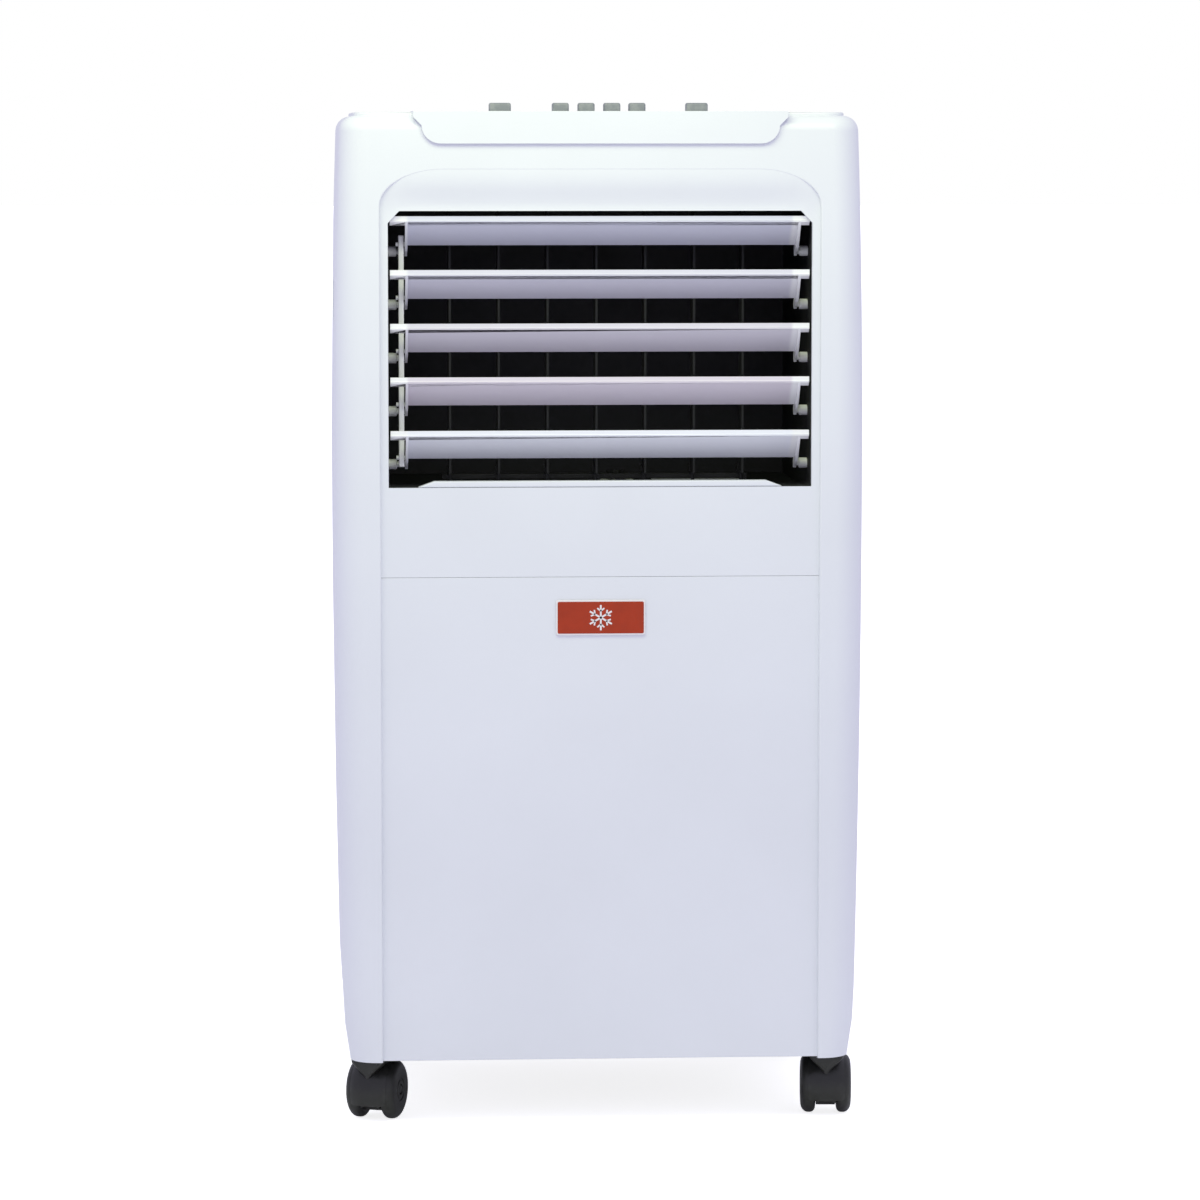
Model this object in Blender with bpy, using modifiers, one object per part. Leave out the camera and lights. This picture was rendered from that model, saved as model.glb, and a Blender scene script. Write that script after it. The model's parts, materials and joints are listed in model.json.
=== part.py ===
"""Evaporative air cooler on castors, built as separate sub-parts.

Metres, +Z up. The origin is on the floor under the middle of the cabinet, and the front faces -Y.
"""
import math

import bmesh
import bpy
from mathutils import Matrix, Vector

# Fits
GAP = 0.0003            # between pieces that rest on each other
RUNNING = 0.0006        # round a pin that turns in its hole
PAST = 0.010            # how far a cutter reaches past what it cuts

# Cabinet. Its heights, and those of all that it holds, start this far above the floor.
CABINET_RISE = 0.004
HALF_WIDTH = 0.177      # at its widest
WIDEST_Z = 0.450
HALF_DEPTH = 0.145
CORNER = 0.022          # radius of the upright corners
WALL = 0.004
BOTTOM_Z = 0.040
CASING_TOP_Z = 0.6740
TOP_Z = 0.6770
EDGE = 0.010            # radius of the rounded top edge
SPLIT_Y = -0.030        # where the front and rear casings meet
ARCH_HALF = 0.1468      # half width of the recess in the front
ARCH_Z = 0.638
ARCH_END = (0.042, 0.024)   # how far the arch falls away at its ends: across, down
RECESS = 0.008          # depth of the cut that clears the front panels
GRIP_LOW = (0.1525, 0.0145, 0.5305)     # the hollow of the right hand grip
GRIP_HIGH = (0.190, 0.1015, 0.5595)
GRIP_WALL = 0.0025
GRIP_OUTER_X = 0.1750
GLAND_AT = (-0.152, 0.100)
GLAND_R = (0.0095, 0.0060, 0.0037)      # flange, barrel and bore

# Front panels
PANEL_Y = -HALF_DEPTH + WALL + GAP
PANEL_T = 0.0030
PANEL_HALF = 0.1482
SEAM_Z = 0.367
BADGE = (0.060, 0.0236, 0.0015)
BADGE_Z = 0.3397

# Outlet and louvres
OUTLET_HALF = 0.1415
OUTLET_Z = (0.427, 0.611)
OUTLET_CHAMFER = (0.006, 0.008)         # the mouth's top corners: across, down
COLLAR_T = 0.0030
COLLAR_END_Y = -0.100
BLADES = 5
BLADE_PITCH = 0.0357
BLADE_PIVOT = (-0.1070, 0.5835)     # y and z of the top blade's axis
BLADE_R = (0.0085, 0.037)           # rear and front edge from the axis
BLADE_TILT = math.radians(36.5)
BLADE_T = 0.0022
LIP = 0.004                         # height of the blade's front lip
LINK_PIN = (0.011, math.radians(27))
LINK_PIN_R = 0.0015
LINK_X = -0.1322
LINK_HALF = (0.0018, 0.003, 0.006)      # the link bar: across, deep, and past its end pins
BLADE_HALF = 0.140      # at the front edge
WING_X = (-0.1285, 0.1330)
FLANGE_X = (-0.1297, 0.1325)
FLANGE_T = 0.0018
STUB_R = 0.002
STUB_END = 0.1435

# Upright vanes behind the louvres
VANES = 7
VANE_PITCH = 0.033
VANE_Y = -0.084
VANE_HALF_CHORD = 0.012
VANE_Z = (0.433, 0.609)
VANE_ARM = 0.014
VANE_LINK_Z = (0.4280, 0.4315)
CRANK = (0.0165, -0.052)
CRANK_THROW = 0.008
CRANK_R = 0.0115
VANE_HALF_T = 0.0008
VANE_PIN_R = 0.0014
VANE_ARM_HALF = 0.0019
SWING_MOTOR = (0.019, 0.018)            # radius, height
SWING_SHAFT_R = 0.0024

# Outlet duct
DUCT_HALF = 0.1445
DUCT_T = 0.0025
DUCT_Y = (COLLAR_END_Y + GAP, 0.066)
DUCT_Z = (0.420, 0.6175)

# Blower
FAN_X, FAN_Z = -0.015, 0.317
FAN_R = 0.085
FAN_Y = (-0.020, 0.055)
FAN_BLADES = 22
SCROLL_R = (0.092, 0.126)
SCROLL_Y = (-0.030, 0.062)
SCROLL_T = 0.003
SCROLL_STEPS = 20
TONGUE = math.radians(50)
MOTOR_R = 0.042
MOTOR_Y = (-0.092, -0.036)
SHAFT_R = 0.004
HUB_R = 0.014
RIM_WIDTH = 0.009
FIN = (0.0012, 0.012, math.radians(30))     # thickness, width, lean
INLET_R = 0.068
NOSE_R = 0.016
BRACKET_HALF = 0.055
BRACKET_FOOT = (0.046, 0.005)               # place from the axis, radius

# Pad and water
PAD_HALF = 0.130
PAD_Y = (0.098, 0.128)
PAD_Z = (0.212, 0.560)
PUMP_AT = (-0.100, 0.104)
HOSE_R = 0.004
PAD_RIM = 0.0065
TROUGH_HEIGHT = 0.018
PUMP_HALF = 0.020
PUMP_TOP_Z = 0.092
TANK_HALF = 0.135
TANK_Y = (-0.125, 0.1385)
TANK_Z = (0.047, 0.185)
TANK_T = 0.003
TANK_DOOR = (0.1384, 0.0472, 0.1878)    # half width, bottom, top
TANK_GRIP_HALF = 0.0455
TANK_GRIP_Z = (0.1425, 0.1755)
TANK_GRIP_DEPTH = 0.0095
LATCH_AT = (0.0, 0.200)
LATCH = (0.006, 0.026)  # half height, reach

# Rear grille
GRILLE_HALF = 0.1394
GRILLE_Z = (0.2126, 0.5914)
GRILLE_SLOTS = 17
GRILLE_T = 0.0030
SLOT = (0.002, 0.124, 0.006)            # inner end, outer end, half height
FILTER_HALF = 0.134
FILTER_T = 0.0020
FILTER_CELLS = (3, 5)
FILTER_RIB = 0.004

# Top
COVER_FRONT_Y = -0.072
CONSOLE_HALF = 0.1245
CONSOLE_LIP_Z = 0.6555
CONSOLE_CORNER = (0.0125, 0.012)       # the lip's end corners: across, down
LIP_T = 0.0023
KEY_Y = -0.118
KEY_TRAVEL = 0.003
KEYS = (
    ("key_swing", -0.0660, 0.0145), ("key_off", -0.0256, 0.0110), ("key_low", -0.0084, 0.0110),
    ("key_medium", 0.0088, 0.0110), ("key_high", 0.0256, 0.0110), ("key_cool", 0.0655, 0.0145),
)
KEY_DEPTH = 0.012
KEY_TOP_Z = 0.6825
KEY_FOOT_Z = CASING_TOP_Z - 0.002
KEY_CLEARANCE = 0.0004
BANK_HALF = 0.080
BANK_HEIGHT = 0.026

# Castors
CASTORS = (
    ("front_left", -0.1550, -0.121, math.radians(-20)), ("front_right", 0.1550, -0.121, math.radians(-4)),
    ("rear_left", -0.1480, 0.106, math.radians(-8)), ("rear_right", 0.1480, 0.106, math.radians(-9)),
)
WHEEL_R = 0.020
TRAIL = 0.014           # how far each axle lies behind its swivel stem
WHEEL_X = (0.0071, 0.0171)
HOOD_HALF = 0.0125
HOOD_R = (0.0210, 0.0224)
HOOD_TURN = (50, 212)   # degrees from the rear, over the top, to the lower front
AXLE_R = 0.0028
STEM_R = 0.004
STEM_RISE = 0.020
BOSS_R = 0.0085
CAP_R = 0.0105
TRAY = (0.163, -0.1365, 0.1400)         # half width, front, back
TRAY_T = 0.003
RAIL_X = 0.095

WHITE = (0.86, 0.88, 0.91)
BLACK = (0.012, 0.012, 0.012)
CHARCOAL = (0.03, 0.03, 0.03)


def collection(name):
    """A new collection in the scene."""
    made = bpy.data.collections.new(name)
    bpy.context.scene.collection.children.link(made)
    return made


for leftover in list(bpy.data.objects):
    bpy.data.objects.remove(leftover, do_unlink=True)
PARTS = collection("air_cooler")
CUTTERS = collection("cutters")


# Shapes

def to_object(name, mesh):
    """An object for a mesh, in the parts collection."""
    made = bpy.data.objects.new(name, mesh)
    PARTS.objects.link(made)
    return made


def from_bmesh(name, bm):
    """An object for a bmesh, with its faces pointing out."""
    bmesh.ops.recalc_face_normals(bm, faces=bm.faces)
    mesh = bpy.data.meshes.new(name)
    bm.to_mesh(mesh)
    bm.free()
    return to_object(name, mesh)


def box(name, low, high):
    """A box between two corners."""
    low, high = Vector(low), Vector(high)
    bm = bmesh.new()
    bmesh.ops.create_cube(bm, size=1.0, matrix=Matrix.Translation((low + high) / 2))
    middle = Matrix.Translation((low + high) / 2)
    size = Matrix.Diagonal((*(high - low), 1.0))
    bmesh.ops.transform(bm, matrix=middle @ size @ middle.inverted(), verts=bm.verts)
    return from_bmesh(name, bm)


def rod(name, start, end, radius, sides=20, end_radius=None):
    """A round rod, or a cone, from one point to another."""
    start, end = Vector(start), Vector(end)
    turn = (end - start).to_track_quat("Z", "Y").to_matrix().to_4x4()
    bm = bmesh.new()
    bmesh.ops.create_cone(
        bm, cap_ends=True, segments=sides, radius1=radius,
        radius2=radius if end_radius is None else end_radius, depth=(end - start).length,
        matrix=Matrix.Translation((start + end) / 2) @ turn)
    made = from_bmesh(name, bm)
    made.data.shade_smooth()
    made.data.set_sharp_from_angle(angle=math.radians(40))
    return made


FACING = {
    "X": Matrix(((0, 0, 1), (1, 0, 0), (0, 1, 0))),
    "Y": Matrix(((1, 0, 0), (0, 0, -1), (0, 1, 0))),
    "Z": Matrix.Identity(3),
}


def plate(name, outline, axis, start, end):
    """A flat outline, given in the two other axes, filled from start to end along one axis."""
    curve = bpy.data.curves.new(name, "CURVE")
    curve.dimensions = "2D"
    curve.fill_mode = "BOTH"
    curve.extrude = (end - start) / 2
    spline = curve.splines.new("POLY")
    spline.points.add(len(outline) - 1)
    for point, (across, up) in zip(spline.points, outline):
        point.co = (across, up, 0.0, 1.0)
    spline.use_cyclic_u = True
    middle = Vector([(start + end) / 2 if axis == a else 0.0 for a in "XYZ"])
    made = as_mesh(name, curve)
    made.data.transform(Matrix.Translation(middle) @ FACING[axis].to_4x4())
    return made


def as_mesh(name, curve):
    """A mesh object made from a curve, with its caps welded on."""
    guide = bpy.data.objects.new(name, curve)
    PARTS.objects.link(guide)
    graph = bpy.context.evaluated_depsgraph_get()
    mesh = bpy.data.meshes.new_from_object(guide.evaluated_get(graph))
    bpy.data.objects.remove(guide)
    bpy.data.curves.remove(curve)
    bm = bmesh.new()
    bm.from_mesh(mesh)
    bmesh.ops.remove_doubles(bm, verts=bm.verts, dist=0.000002)
    bpy.data.meshes.remove(mesh)
    return from_bmesh(name, bm)


def tube(name, points, radius):
    """A round tube of solid section along a list of points."""
    curve = bpy.data.curves.new(name, "CURVE")
    curve.dimensions = "3D"
    curve.bevel_depth = radius
    curve.bevel_resolution = 2
    curve.use_fill_caps = True
    spline = curve.splines.new("POLY")
    spline.points.add(len(points) - 1)
    for point, place in zip(spline.points, points):
        point.co = (*place, 1.0)
    return as_mesh(name, curve)


def turned(name, profile, steps, centre, axis):
    """A profile of (radius, along) pairs turned round an axis through a centre."""
    mesh = bpy.data.meshes.new(name)
    points = [(radius, 0.0, along) for radius, along in profile]
    edges = [(i, (i + 1) % len(points)) for i in range(len(points))]
    mesh.from_pydata(points, edges, [])
    made = to_object(name, mesh)
    screw = made.modifiers.new("Screw", "SCREW")
    screw.steps = steps
    screw.render_steps = steps
    screw.use_merge_vertices = True
    screw.merge_threshold = 0.00001
    bake(made)
    turn = Vector(axis).to_track_quat("Z", "Y").to_matrix().to_4x4()
    made.data.transform(Matrix.Translation(centre) @ turn)
    bm = bmesh.new()
    bm.from_mesh(made.data)
    bmesh.ops.recalc_face_normals(bm, faces=bm.faces)
    bm.to_mesh(made.data)
    bm.free()
    return made


def combine(target, operation, tools):
    """Boolean modifiers on the target, one for each tool."""
    for tool in tools:
        step = target.modifiers.new(operation.title(), "BOOLEAN")
        step.operation = operation
        step.solver = "EXACT"
        step.object = tool
        tool.hide_render = True
        tool.display_type = "WIRE"
        PARTS.objects.unlink(tool)
        CUTTERS.objects.link(tool)
    return target


def join(target, *tools):
    return combine(target, "UNION", tools)


def cut(target, *tools):
    return combine(target, "DIFFERENCE", tools)


def bake(target):
    """Turn the target's modifiers into its mesh and drop the tools that they used."""
    graph = bpy.context.evaluated_depsgraph_get()
    mesh = bpy.data.meshes.new_from_object(target.evaluated_get(graph))
    tools = [m.object for m in target.modifiers if m.type == "BOOLEAN"]
    target.modifiers.clear()
    target.data = mesh
    for tool in tools:
        bpy.data.objects.remove(tool)
    return target


def together(name, objects):
    """Several shapes that don't touch, as one object for a Boolean."""
    bm = bmesh.new()
    for item in objects:
        bm.from_mesh(item.data)
        bpy.data.objects.remove(item)
    return from_bmesh(name, bm)


def copy(source, name, move):
    """Another object on the same mesh, moved."""
    made = to_object(name, source.data)
    made.location = source.location + Vector(move)
    return made


def pivot(target, point):
    """Put the target's origin on its joint's axis."""
    target.data.transform(Matrix.Translation(-Vector(point)))
    target.location = point
    return target


def paint(target, colour, roughness=0.4, metallic=0.0):
    """The target's own plain material."""
    material = bpy.data.materials.new(target.name + "_material")
    material.use_nodes = True
    shader = material.node_tree.nodes["Principled BSDF"]
    shader.inputs["Base Color"].default_value = (*colour, 1.0)
    shader.inputs["Roughness"].default_value = roughness
    shader.inputs["Metallic"].default_value = metallic
    if not target.data.materials:
        target.data.materials.append(None)
    target.material_slots[0].link = "OBJECT"
    target.material_slots[0].material = material
    return target


def arc(centre, radii, start, end, steps):
    """Points along part of an ellipse, from one angle in degrees to another."""
    angles = [math.radians(start + (end - start) * i / steps) for i in range(steps + 1)]
    return [(centre[0] + radii[0] * math.cos(a), centre[1] + radii[1] * math.sin(a)) for a in angles]


def ring_part(centre, inner, outer, start, end, steps):
    """The outline of part of a ring, from one angle in degrees to another."""
    return (arc(centre, (outer, outer), start, end, steps)
            + arc(centre, (inner, inner), end, start, steps))


def rounded(low, high, radius, steps=4):
    """The outline of a rectangle with rounded corners."""
    (left, bottom), (right, top) = low, high
    corners = ((right, top, 0), (left, top, 90), (left, bottom, 180), (right, bottom, 270))
    outline = []
    for x, y, angle in corners:
        centre = (x - math.copysign(radius, x - (left + right) / 2),
                  y - math.copysign(radius, y - (bottom + top) / 2))
        outline += arc(centre, (radius, radius), angle, angle + 90, steps)
    return outline


# Casings

def half_width(z):
    """The cabinet narrows gently above and below its widest height, and tucks in at the foot."""
    if z > WIDEST_Z:
        return HALF_WIDTH - 0.0033 * ((z - WIDEST_Z) / 0.2) ** 2
    foot = max(0.0, 2 * BOTTOM_Z - z) / BOTTOM_Z
    return HALF_WIDTH - 0.0048 * ((WIDEST_Z - z) / 0.4) ** 2 - 0.0036 * foot ** 2


def shell_levels():
    """Heights of the cabinet's sections, each with how far its outline is set in."""
    plain = (BOTTOM_Z, 0.050, 0.080, 0.200, 0.340, WIDEST_Z, 0.600)
    levels = [(z, 0.0) for z in plain]
    for across, up in arc((EDGE, CASING_TOP_Z - EDGE), (EDGE, EDGE), 180, 90, 5):
        levels.append((up, across))
    levels.append((CASING_TOP_Z, EDGE + 0.004))
    return levels


def casing(name, side):
    """Half the cabinet's skin: side -1 is the front half and 1 is the rear half."""
    bm = bmesh.new()
    rings = []
    for z, inset in shell_levels():
        half = half_width(z) - inset
        face = HALF_DEPTH - inset
        radius = CORNER - inset
        corner = arc((half - radius, face - radius), (radius, radius), 0, 90, 7)
        quarter = [(half, side * SPLIT_Y + GAP / 2)] + corner
        path = quarter + [(-x, y) for x, y in reversed(quarter)]
        rings.append([bm.verts.new((x, side * y, z)) for x, y in path])
    for lower, upper in zip(rings, rings[1:]):
        for i in range(len(lower) - 1):
            quad = (lower[i], lower[i + 1], upper[i + 1], upper[i])
            bm.faces.new(quad if side > 0 else quad[::-1])
    mesh = bpy.data.meshes.new(name)
    bm.to_mesh(mesh)
    bm.free()
    made = to_object(name, mesh)
    wall = made.modifiers.new("Wall", "SOLIDIFY")
    wall.thickness = WALL
    wall.offset = -1.0
    wall.use_even_offset = True
    return made


def arch_outline():
    """The recess in the front, open below the foot."""
    across, down = ARCH_END
    ear = arc((ARCH_HALF - across, ARCH_Z - down), (across, down), 0, 90, 8)
    half = [(ARCH_HALF, BOTTOM_Z - PAST)] + ear
    return half + [(-x, z) for x, z in reversed(half)]


def front_casing():
    made = casing("front_casing", -1)
    opening = plate("recess", arch_outline(), "Y", -HALF_DEPTH - PAST, -HALF_DEPTH + RECESS)
    return paint(cut(made, opening), WHITE)


def rear_casing():
    made = casing("rear_casing", 1)
    deep = (HALF_DEPTH - PAST, HALF_DEPTH + PAST)
    low, high = GRILLE_Z
    clearance = 2 * GAP
    window = plate("grille_window", rounded(
        (-GRILLE_HALF - clearance, low - clearance), (GRILLE_HALF + clearance, high + clearance),
        0.008), "Y", *deep)
    half, bottom, top = TANK_DOOR
    mouth = plate("tank_mouth", rounded(
        (-half - clearance, bottom - clearance), (half + clearance, top + clearance), 0.005),
        "Y", *deep)
    x, z = GLAND_AT
    gland = rod("gland_hole", (x, deep[0], z), (x, deep[1], z), GLAND_R[1] + GAP)
    grips = []
    cup_low = [place - GRIP_WALL for place in GRIP_LOW]
    cup_high = (GRIP_OUTER_X, GRIP_HIGH[1] + GRIP_WALL, GRIP_HIGH[2] + GRIP_WALL)
    for sign in (-1, 1):
        cup = box("grip_cup", (sign * cup_low[0], *cup_low[1:]), (sign * cup_high[0], *cup_high[1:]))
        hollow = box("grip_hollow", (sign * GRIP_LOW[0], *GRIP_LOW[1:]), (sign * GRIP_HIGH[0], *GRIP_HIGH[1:]))
        join(made, cup)
        grips.append(hollow)
    return paint(cut(made, window, mouth, gland, *grips), WHITE)


# Front

def louvre_frame():
    made = plate("louvre_frame", rounded(
        (-PANEL_HALF, SEAM_Z + GAP), (PANEL_HALF, ARCH_Z + 0.006), 0.006), "Y",
        PANEL_Y, PANEL_Y + PANEL_T)
    low, high = OUTLET_Z
    collar = box("collar", (-OUTLET_HALF - COLLAR_T, PANEL_Y + 0.002, low - COLLAR_T),
                 (OUTLET_HALF + COLLAR_T, COLLAR_END_Y, high + COLLAR_T))
    across, down = OUTLET_CHAMFER
    mouth = plate("mouth", [
        (-OUTLET_HALF, low), (OUTLET_HALF, low), (OUTLET_HALF, high - down),
        (OUTLET_HALF - across, high), (-OUTLET_HALF + across, high), (-OUTLET_HALF, high - down),
    ], "Y", PANEL_Y - PAST, PANEL_Y + PAST)
    throat = box("throat", (-OUTLET_HALF, PANEL_Y + PANEL_T, low), (OUTLET_HALF, COLLAR_END_Y + PAST, high))
    holes = []
    for i in range(BLADES):
        y, z = BLADE_PIVOT[0], BLADE_PIVOT[1] - i * BLADE_PITCH
        for sign in (-1, 1):
            holes.append(rod("bearing", (sign * (OUTLET_HALF - 0.001), y, z),
                             (sign * (OUTLET_HALF + 0.005), y, z), STUB_R + RUNNING, 8))
    join(made, collar)
    return paint(cut(made, mouth, throat, together("bearings", holes)), WHITE)


def lower_front_panel():
    made = plate("lower_front_panel", rounded(
        (-PANEL_HALF, BOTTOM_Z + 0.0005), (PANEL_HALF, SEAM_Z - GAP), 0.003), "Y",
        PANEL_Y, PANEL_Y + PANEL_T)
    return paint(made, WHITE)


def badge():
    width, height, thick = BADGE
    made = plate("badge", rounded((-width / 2, BADGE_Z - height / 2), (width / 2, BADGE_Z + height / 2),
                                  0.0015, 2), "Y", PANEL_Y - GAP - thick, PANEL_Y - GAP)
    return paint(made, (0.45, 0.015, 0.008), 0.3)


def polar(radius, angle):
    """A point forward of and above an axis along X: (y, z) for a radius and a rise angle."""
    return -radius * math.cos(angle), radius * math.sin(angle)


def louvre_blades():
    """Five blades that turn together, with the link bar that couples them."""
    y0, z0 = BLADE_PIVOT
    centre = Vector((0.0, y0, z0))
    tilt = Matrix.Translation(centre) @ Matrix.Rotation(-BLADE_TILT, 4, "X")
    rear, front = BLADE_R
    wing = box("wing", (WING_X[0], -front + 0.001, -BLADE_T / 2), (WING_X[1], -rear, BLADE_T / 2))
    wing.data.transform(tilt)
    nose = box("nose", (-BLADE_HALF, -front, -BLADE_T * 0.6), (BLADE_HALF, -front + 0.0055, BLADE_T * 0.6))
    nose.data.transform(tilt)
    lip_y, lip_z = polar(front, BLADE_TILT)
    lip = box("lip", (-BLADE_HALF, y0 + lip_y - 0.0004, z0 + lip_z - LIP / 2),
              (BLADE_HALF, y0 + lip_y + 0.0018, z0 + lip_z + LIP / 2))
    pieces = [nose, lip]
    for x in FLANGE_X:
        outline = [polar(0.0035, a) for a in (math.radians(d) for d in (-20, -65, -110, -155, 160))]
        outline += [polar(0.0035, math.radians(115)), polar(front - 0.004, BLADE_TILT + 0.02)]
        outline += [polar(front - 0.001, BLADE_TILT - 0.05), polar(LINK_PIN[0] + 0.004, math.radians(10))]
        flange = plate("flange", [(y0 + y, z0 + z) for y, z in outline], "X", x, x + FLANGE_T)
        pieces.append(flange)
    inner_left, inner_right = FLANGE_X[0] + 0.001, FLANGE_X[1] + 0.001
    pieces.append(rod("stub_left", (-STUB_END, y0, z0), (inner_left, y0, z0), STUB_R, 8))
    pieces.append(rod("stub_right", (inner_right, y0, z0), (STUB_END, y0, z0), STUB_R, 8))
    pin_y, pin_z = polar(*LINK_PIN)
    pin = (y0 + pin_y, z0 + pin_z)
    pieces.append(rod("link_pin", (LINK_X - 0.0035, *pin), (inner_left, *pin), LINK_PIN_R, 8))
    wing.name = "louvre_blade_1"
    join(wing, *pieces)
    bake(wing)
    pivot(wing, centre)
    blades = [wing] + [copy(wing, f"louvre_blade_{i + 1}", (0, 0, -i * BLADE_PITCH))
                       for i in range(1, BLADES)]
    for blade in blades:
        paint(blade, WHITE)
    span = (BLADES - 1) * BLADE_PITCH
    across, deep, past = LINK_HALF
    link = box("louvre_link", (LINK_X - across, pin[0] - deep, pin[1] - span - past),
               (LINK_X + across, pin[0] + deep, pin[1] + past))
    holes = [rod("hole", (LINK_X - PAST, pin[0], pin[1] - i * BLADE_PITCH),
                 (LINK_X + PAST, pin[0], pin[1] - i * BLADE_PITCH), LINK_PIN_R + RUNNING, 8)
             for i in range(BLADES)]
    bake(cut(link, together("holes", holes)))
    middle = BLADES // 2
    paint(pivot(link, (LINK_X, pin[0], pin[1] - middle * BLADE_PITCH)), WHITE)


# Air path

def outlet_duct():
    (front, back), (low, high) = DUCT_Y, DUCT_Z
    made = box("outlet_duct", (-DUCT_HALF, front, low), (DUCT_HALF, back, high))
    inside = box("inside", (-DUCT_HALF + DUCT_T, front - PAST, low + DUCT_T),
                 (DUCT_HALF - DUCT_T, back - DUCT_T, high - DUCT_T))
    left = FAN_X + SCROLL_R[0] * math.cos(TONGUE)
    throat = box("throat", (left, SCROLL_Y[0] + SCROLL_T, low - PAST),
                 (FAN_X + SCROLL_R[1], SCROLL_Y[1], low + PAST))
    holes = [rod("shaft_hole", (*CRANK, low - PAST), (*CRANK, low + PAST), SWING_SHAFT_R + 0.0011, 12)]
    for i in range(VANES):
        x = (i - VANES // 2) * VANE_PITCH
        for z in (low, high):
            holes.append(rod("hole", (x, VANE_Y, z - 0.006), (x, VANE_Y, z + 0.006), VANE_PIN_R + 0.0007, 6))
    return paint(cut(made, inside, throat, together("holes", holes)), BLACK, 0.6)


def vanes():
    """Seven upright vanes, their link bar, and the crank that swings them."""
    low, high = VANE_Z
    centre = (0.0, VANE_Y, (low + high) / 2)
    vane = box("vane_4", (-VANE_HALF_T, VANE_Y - VANE_HALF_CHORD, low),
               (VANE_HALF_T, VANE_Y + VANE_HALF_CHORD, high))
    arm = box("arm", (-VANE_ARM_HALF, VANE_Y + VANE_HALF_CHORD - 0.004, low - 0.0001),
              (VANE_ARM_HALF, VANE_Y + VANE_ARM + 0.002, low + 0.004))
    pins = [
        rod("top_pin", (0, VANE_Y, high - 0.002), (0, VANE_Y, DUCT_Z[1] - 0.0005), VANE_PIN_R, 6),
        rod("foot_pin", (0, VANE_Y, low + 0.002), (0, VANE_Y, DUCT_Z[0] + 0.0005), VANE_PIN_R, 6),
        rod("arm_pin", (0, VANE_Y + VANE_ARM, low + 0.002),
            (0, VANE_Y + VANE_ARM, VANE_LINK_Z[0] - GAP), 0.0013, 6),
    ]
    join(vane, arm, *pins)
    bake(vane)
    pivot(vane, centre)
    everyone = [vane]
    for i in range(VANES):
        x = (i - VANES // 2) * VANE_PITCH
        if i != VANES // 2:
            everyone.append(copy(vane, f"vane_{i + 1}", (x, 0, 0)))
    for each in everyone:
        paint(each, BLACK, 0.55)
    bottom, top = VANE_LINK_Z
    reach = (VANES // 2) * VANE_PITCH + 0.005
    y = VANE_Y + VANE_ARM
    link = box("vane_link", (-reach, y - 0.0038, bottom), (reach, y + 0.0038, top))
    yoke = box("yoke", (CRANK[0] - 0.006, y + 0.0030, bottom),
               (CRANK[0] + 0.006, CRANK[1] + CRANK_THROW + 0.006, top))
    slot = box("slot", (CRANK[0] - 0.0022, CRANK[1] - CRANK_THROW - 0.002, bottom - PAST),
               (CRANK[0] + 0.0022, CRANK[1] + CRANK_THROW + 0.002, top + PAST))
    holes = [rod("hole", ((i - VANES // 2) * VANE_PITCH, y, bottom - 0.005),
                 ((i - VANES // 2) * VANE_PITCH, y, top + 0.001), 0.0019, 6) for i in range(VANES)]
    join(link, yoke)
    cut(link, slot, together("holes", holes))
    bake(link)
    paint(pivot(link, (0.0, y, (bottom + top) / 2)), BLACK, 0.55)


def swing_drive():
    """The small motor under the duct floor, and its crank disc above it."""
    floor_low = DUCT_Z[0]
    radius, height = SWING_MOTOR
    motor = rod("swing_motor", (*CRANK, floor_low - height), (*CRANK, floor_low - GAP), radius, 28)
    shaft = rod("shaft", (*CRANK, floor_low - 0.005), (*CRANK, floor_low + 0.0037), SWING_SHAFT_R, 12)
    ears = box("ears", (CRANK[0] - 0.027, CRANK[1] - 0.005, floor_low - 0.002),
               (CRANK[0] + 0.027, CRANK[1] + 0.005, floor_low - GAP))
    paint(join(motor, shaft, ears), (0.5, 0.5, 0.48), 0.35, 1.0)
    disc_z = floor_low + 0.0040
    disc = rod("swing_crank", (*CRANK, disc_z), (*CRANK, disc_z + 0.0022), CRANK_R, 24)
    pin_at = (CRANK[0], CRANK[1] - CRANK_THROW)
    pin = rod("pin", (*pin_at, disc_z + 0.001), (*pin_at, VANE_LINK_Z[0] - 0.0005), 0.0018, 12)
    join(disc, pin)
    bake(disc)
    paint(pivot(disc, (*CRANK, disc_z)), WHITE)


def spiral(extra, start):
    """The scroll's wall, from the tongue round to the far side: (x, z) points."""
    low, high = SCROLL_R
    points = []
    for i in range(SCROLL_STEPS + 1):
        angle = start + (2 * math.pi - start) * i / SCROLL_STEPS
        radius = low + (high - low) * (angle - TONGUE) / (2 * math.pi - TONGUE) + extra
        points.append((FAN_X + radius * math.cos(angle), FAN_Z + radius * math.sin(angle)))
    return points


def scroll_outlines():
    """The outer outline of the scroll, and the outline of its wall."""
    top = DUCT_Z[0] - GAP
    inner = spiral(0.0, TONGUE)
    outer = spiral(SCROLL_T, TONGUE + math.radians(4))
    tongue_x, far_x = inner[0][0], inner[-1][0]
    outside = [(tongue_x - SCROLL_T, top)] + outer[1:] + [(far_x + SCROLL_T, top)]
    inside = [(tongue_x, top)] + inner + [(far_x, top)]
    return outside, outside + inside[::-1]


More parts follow.
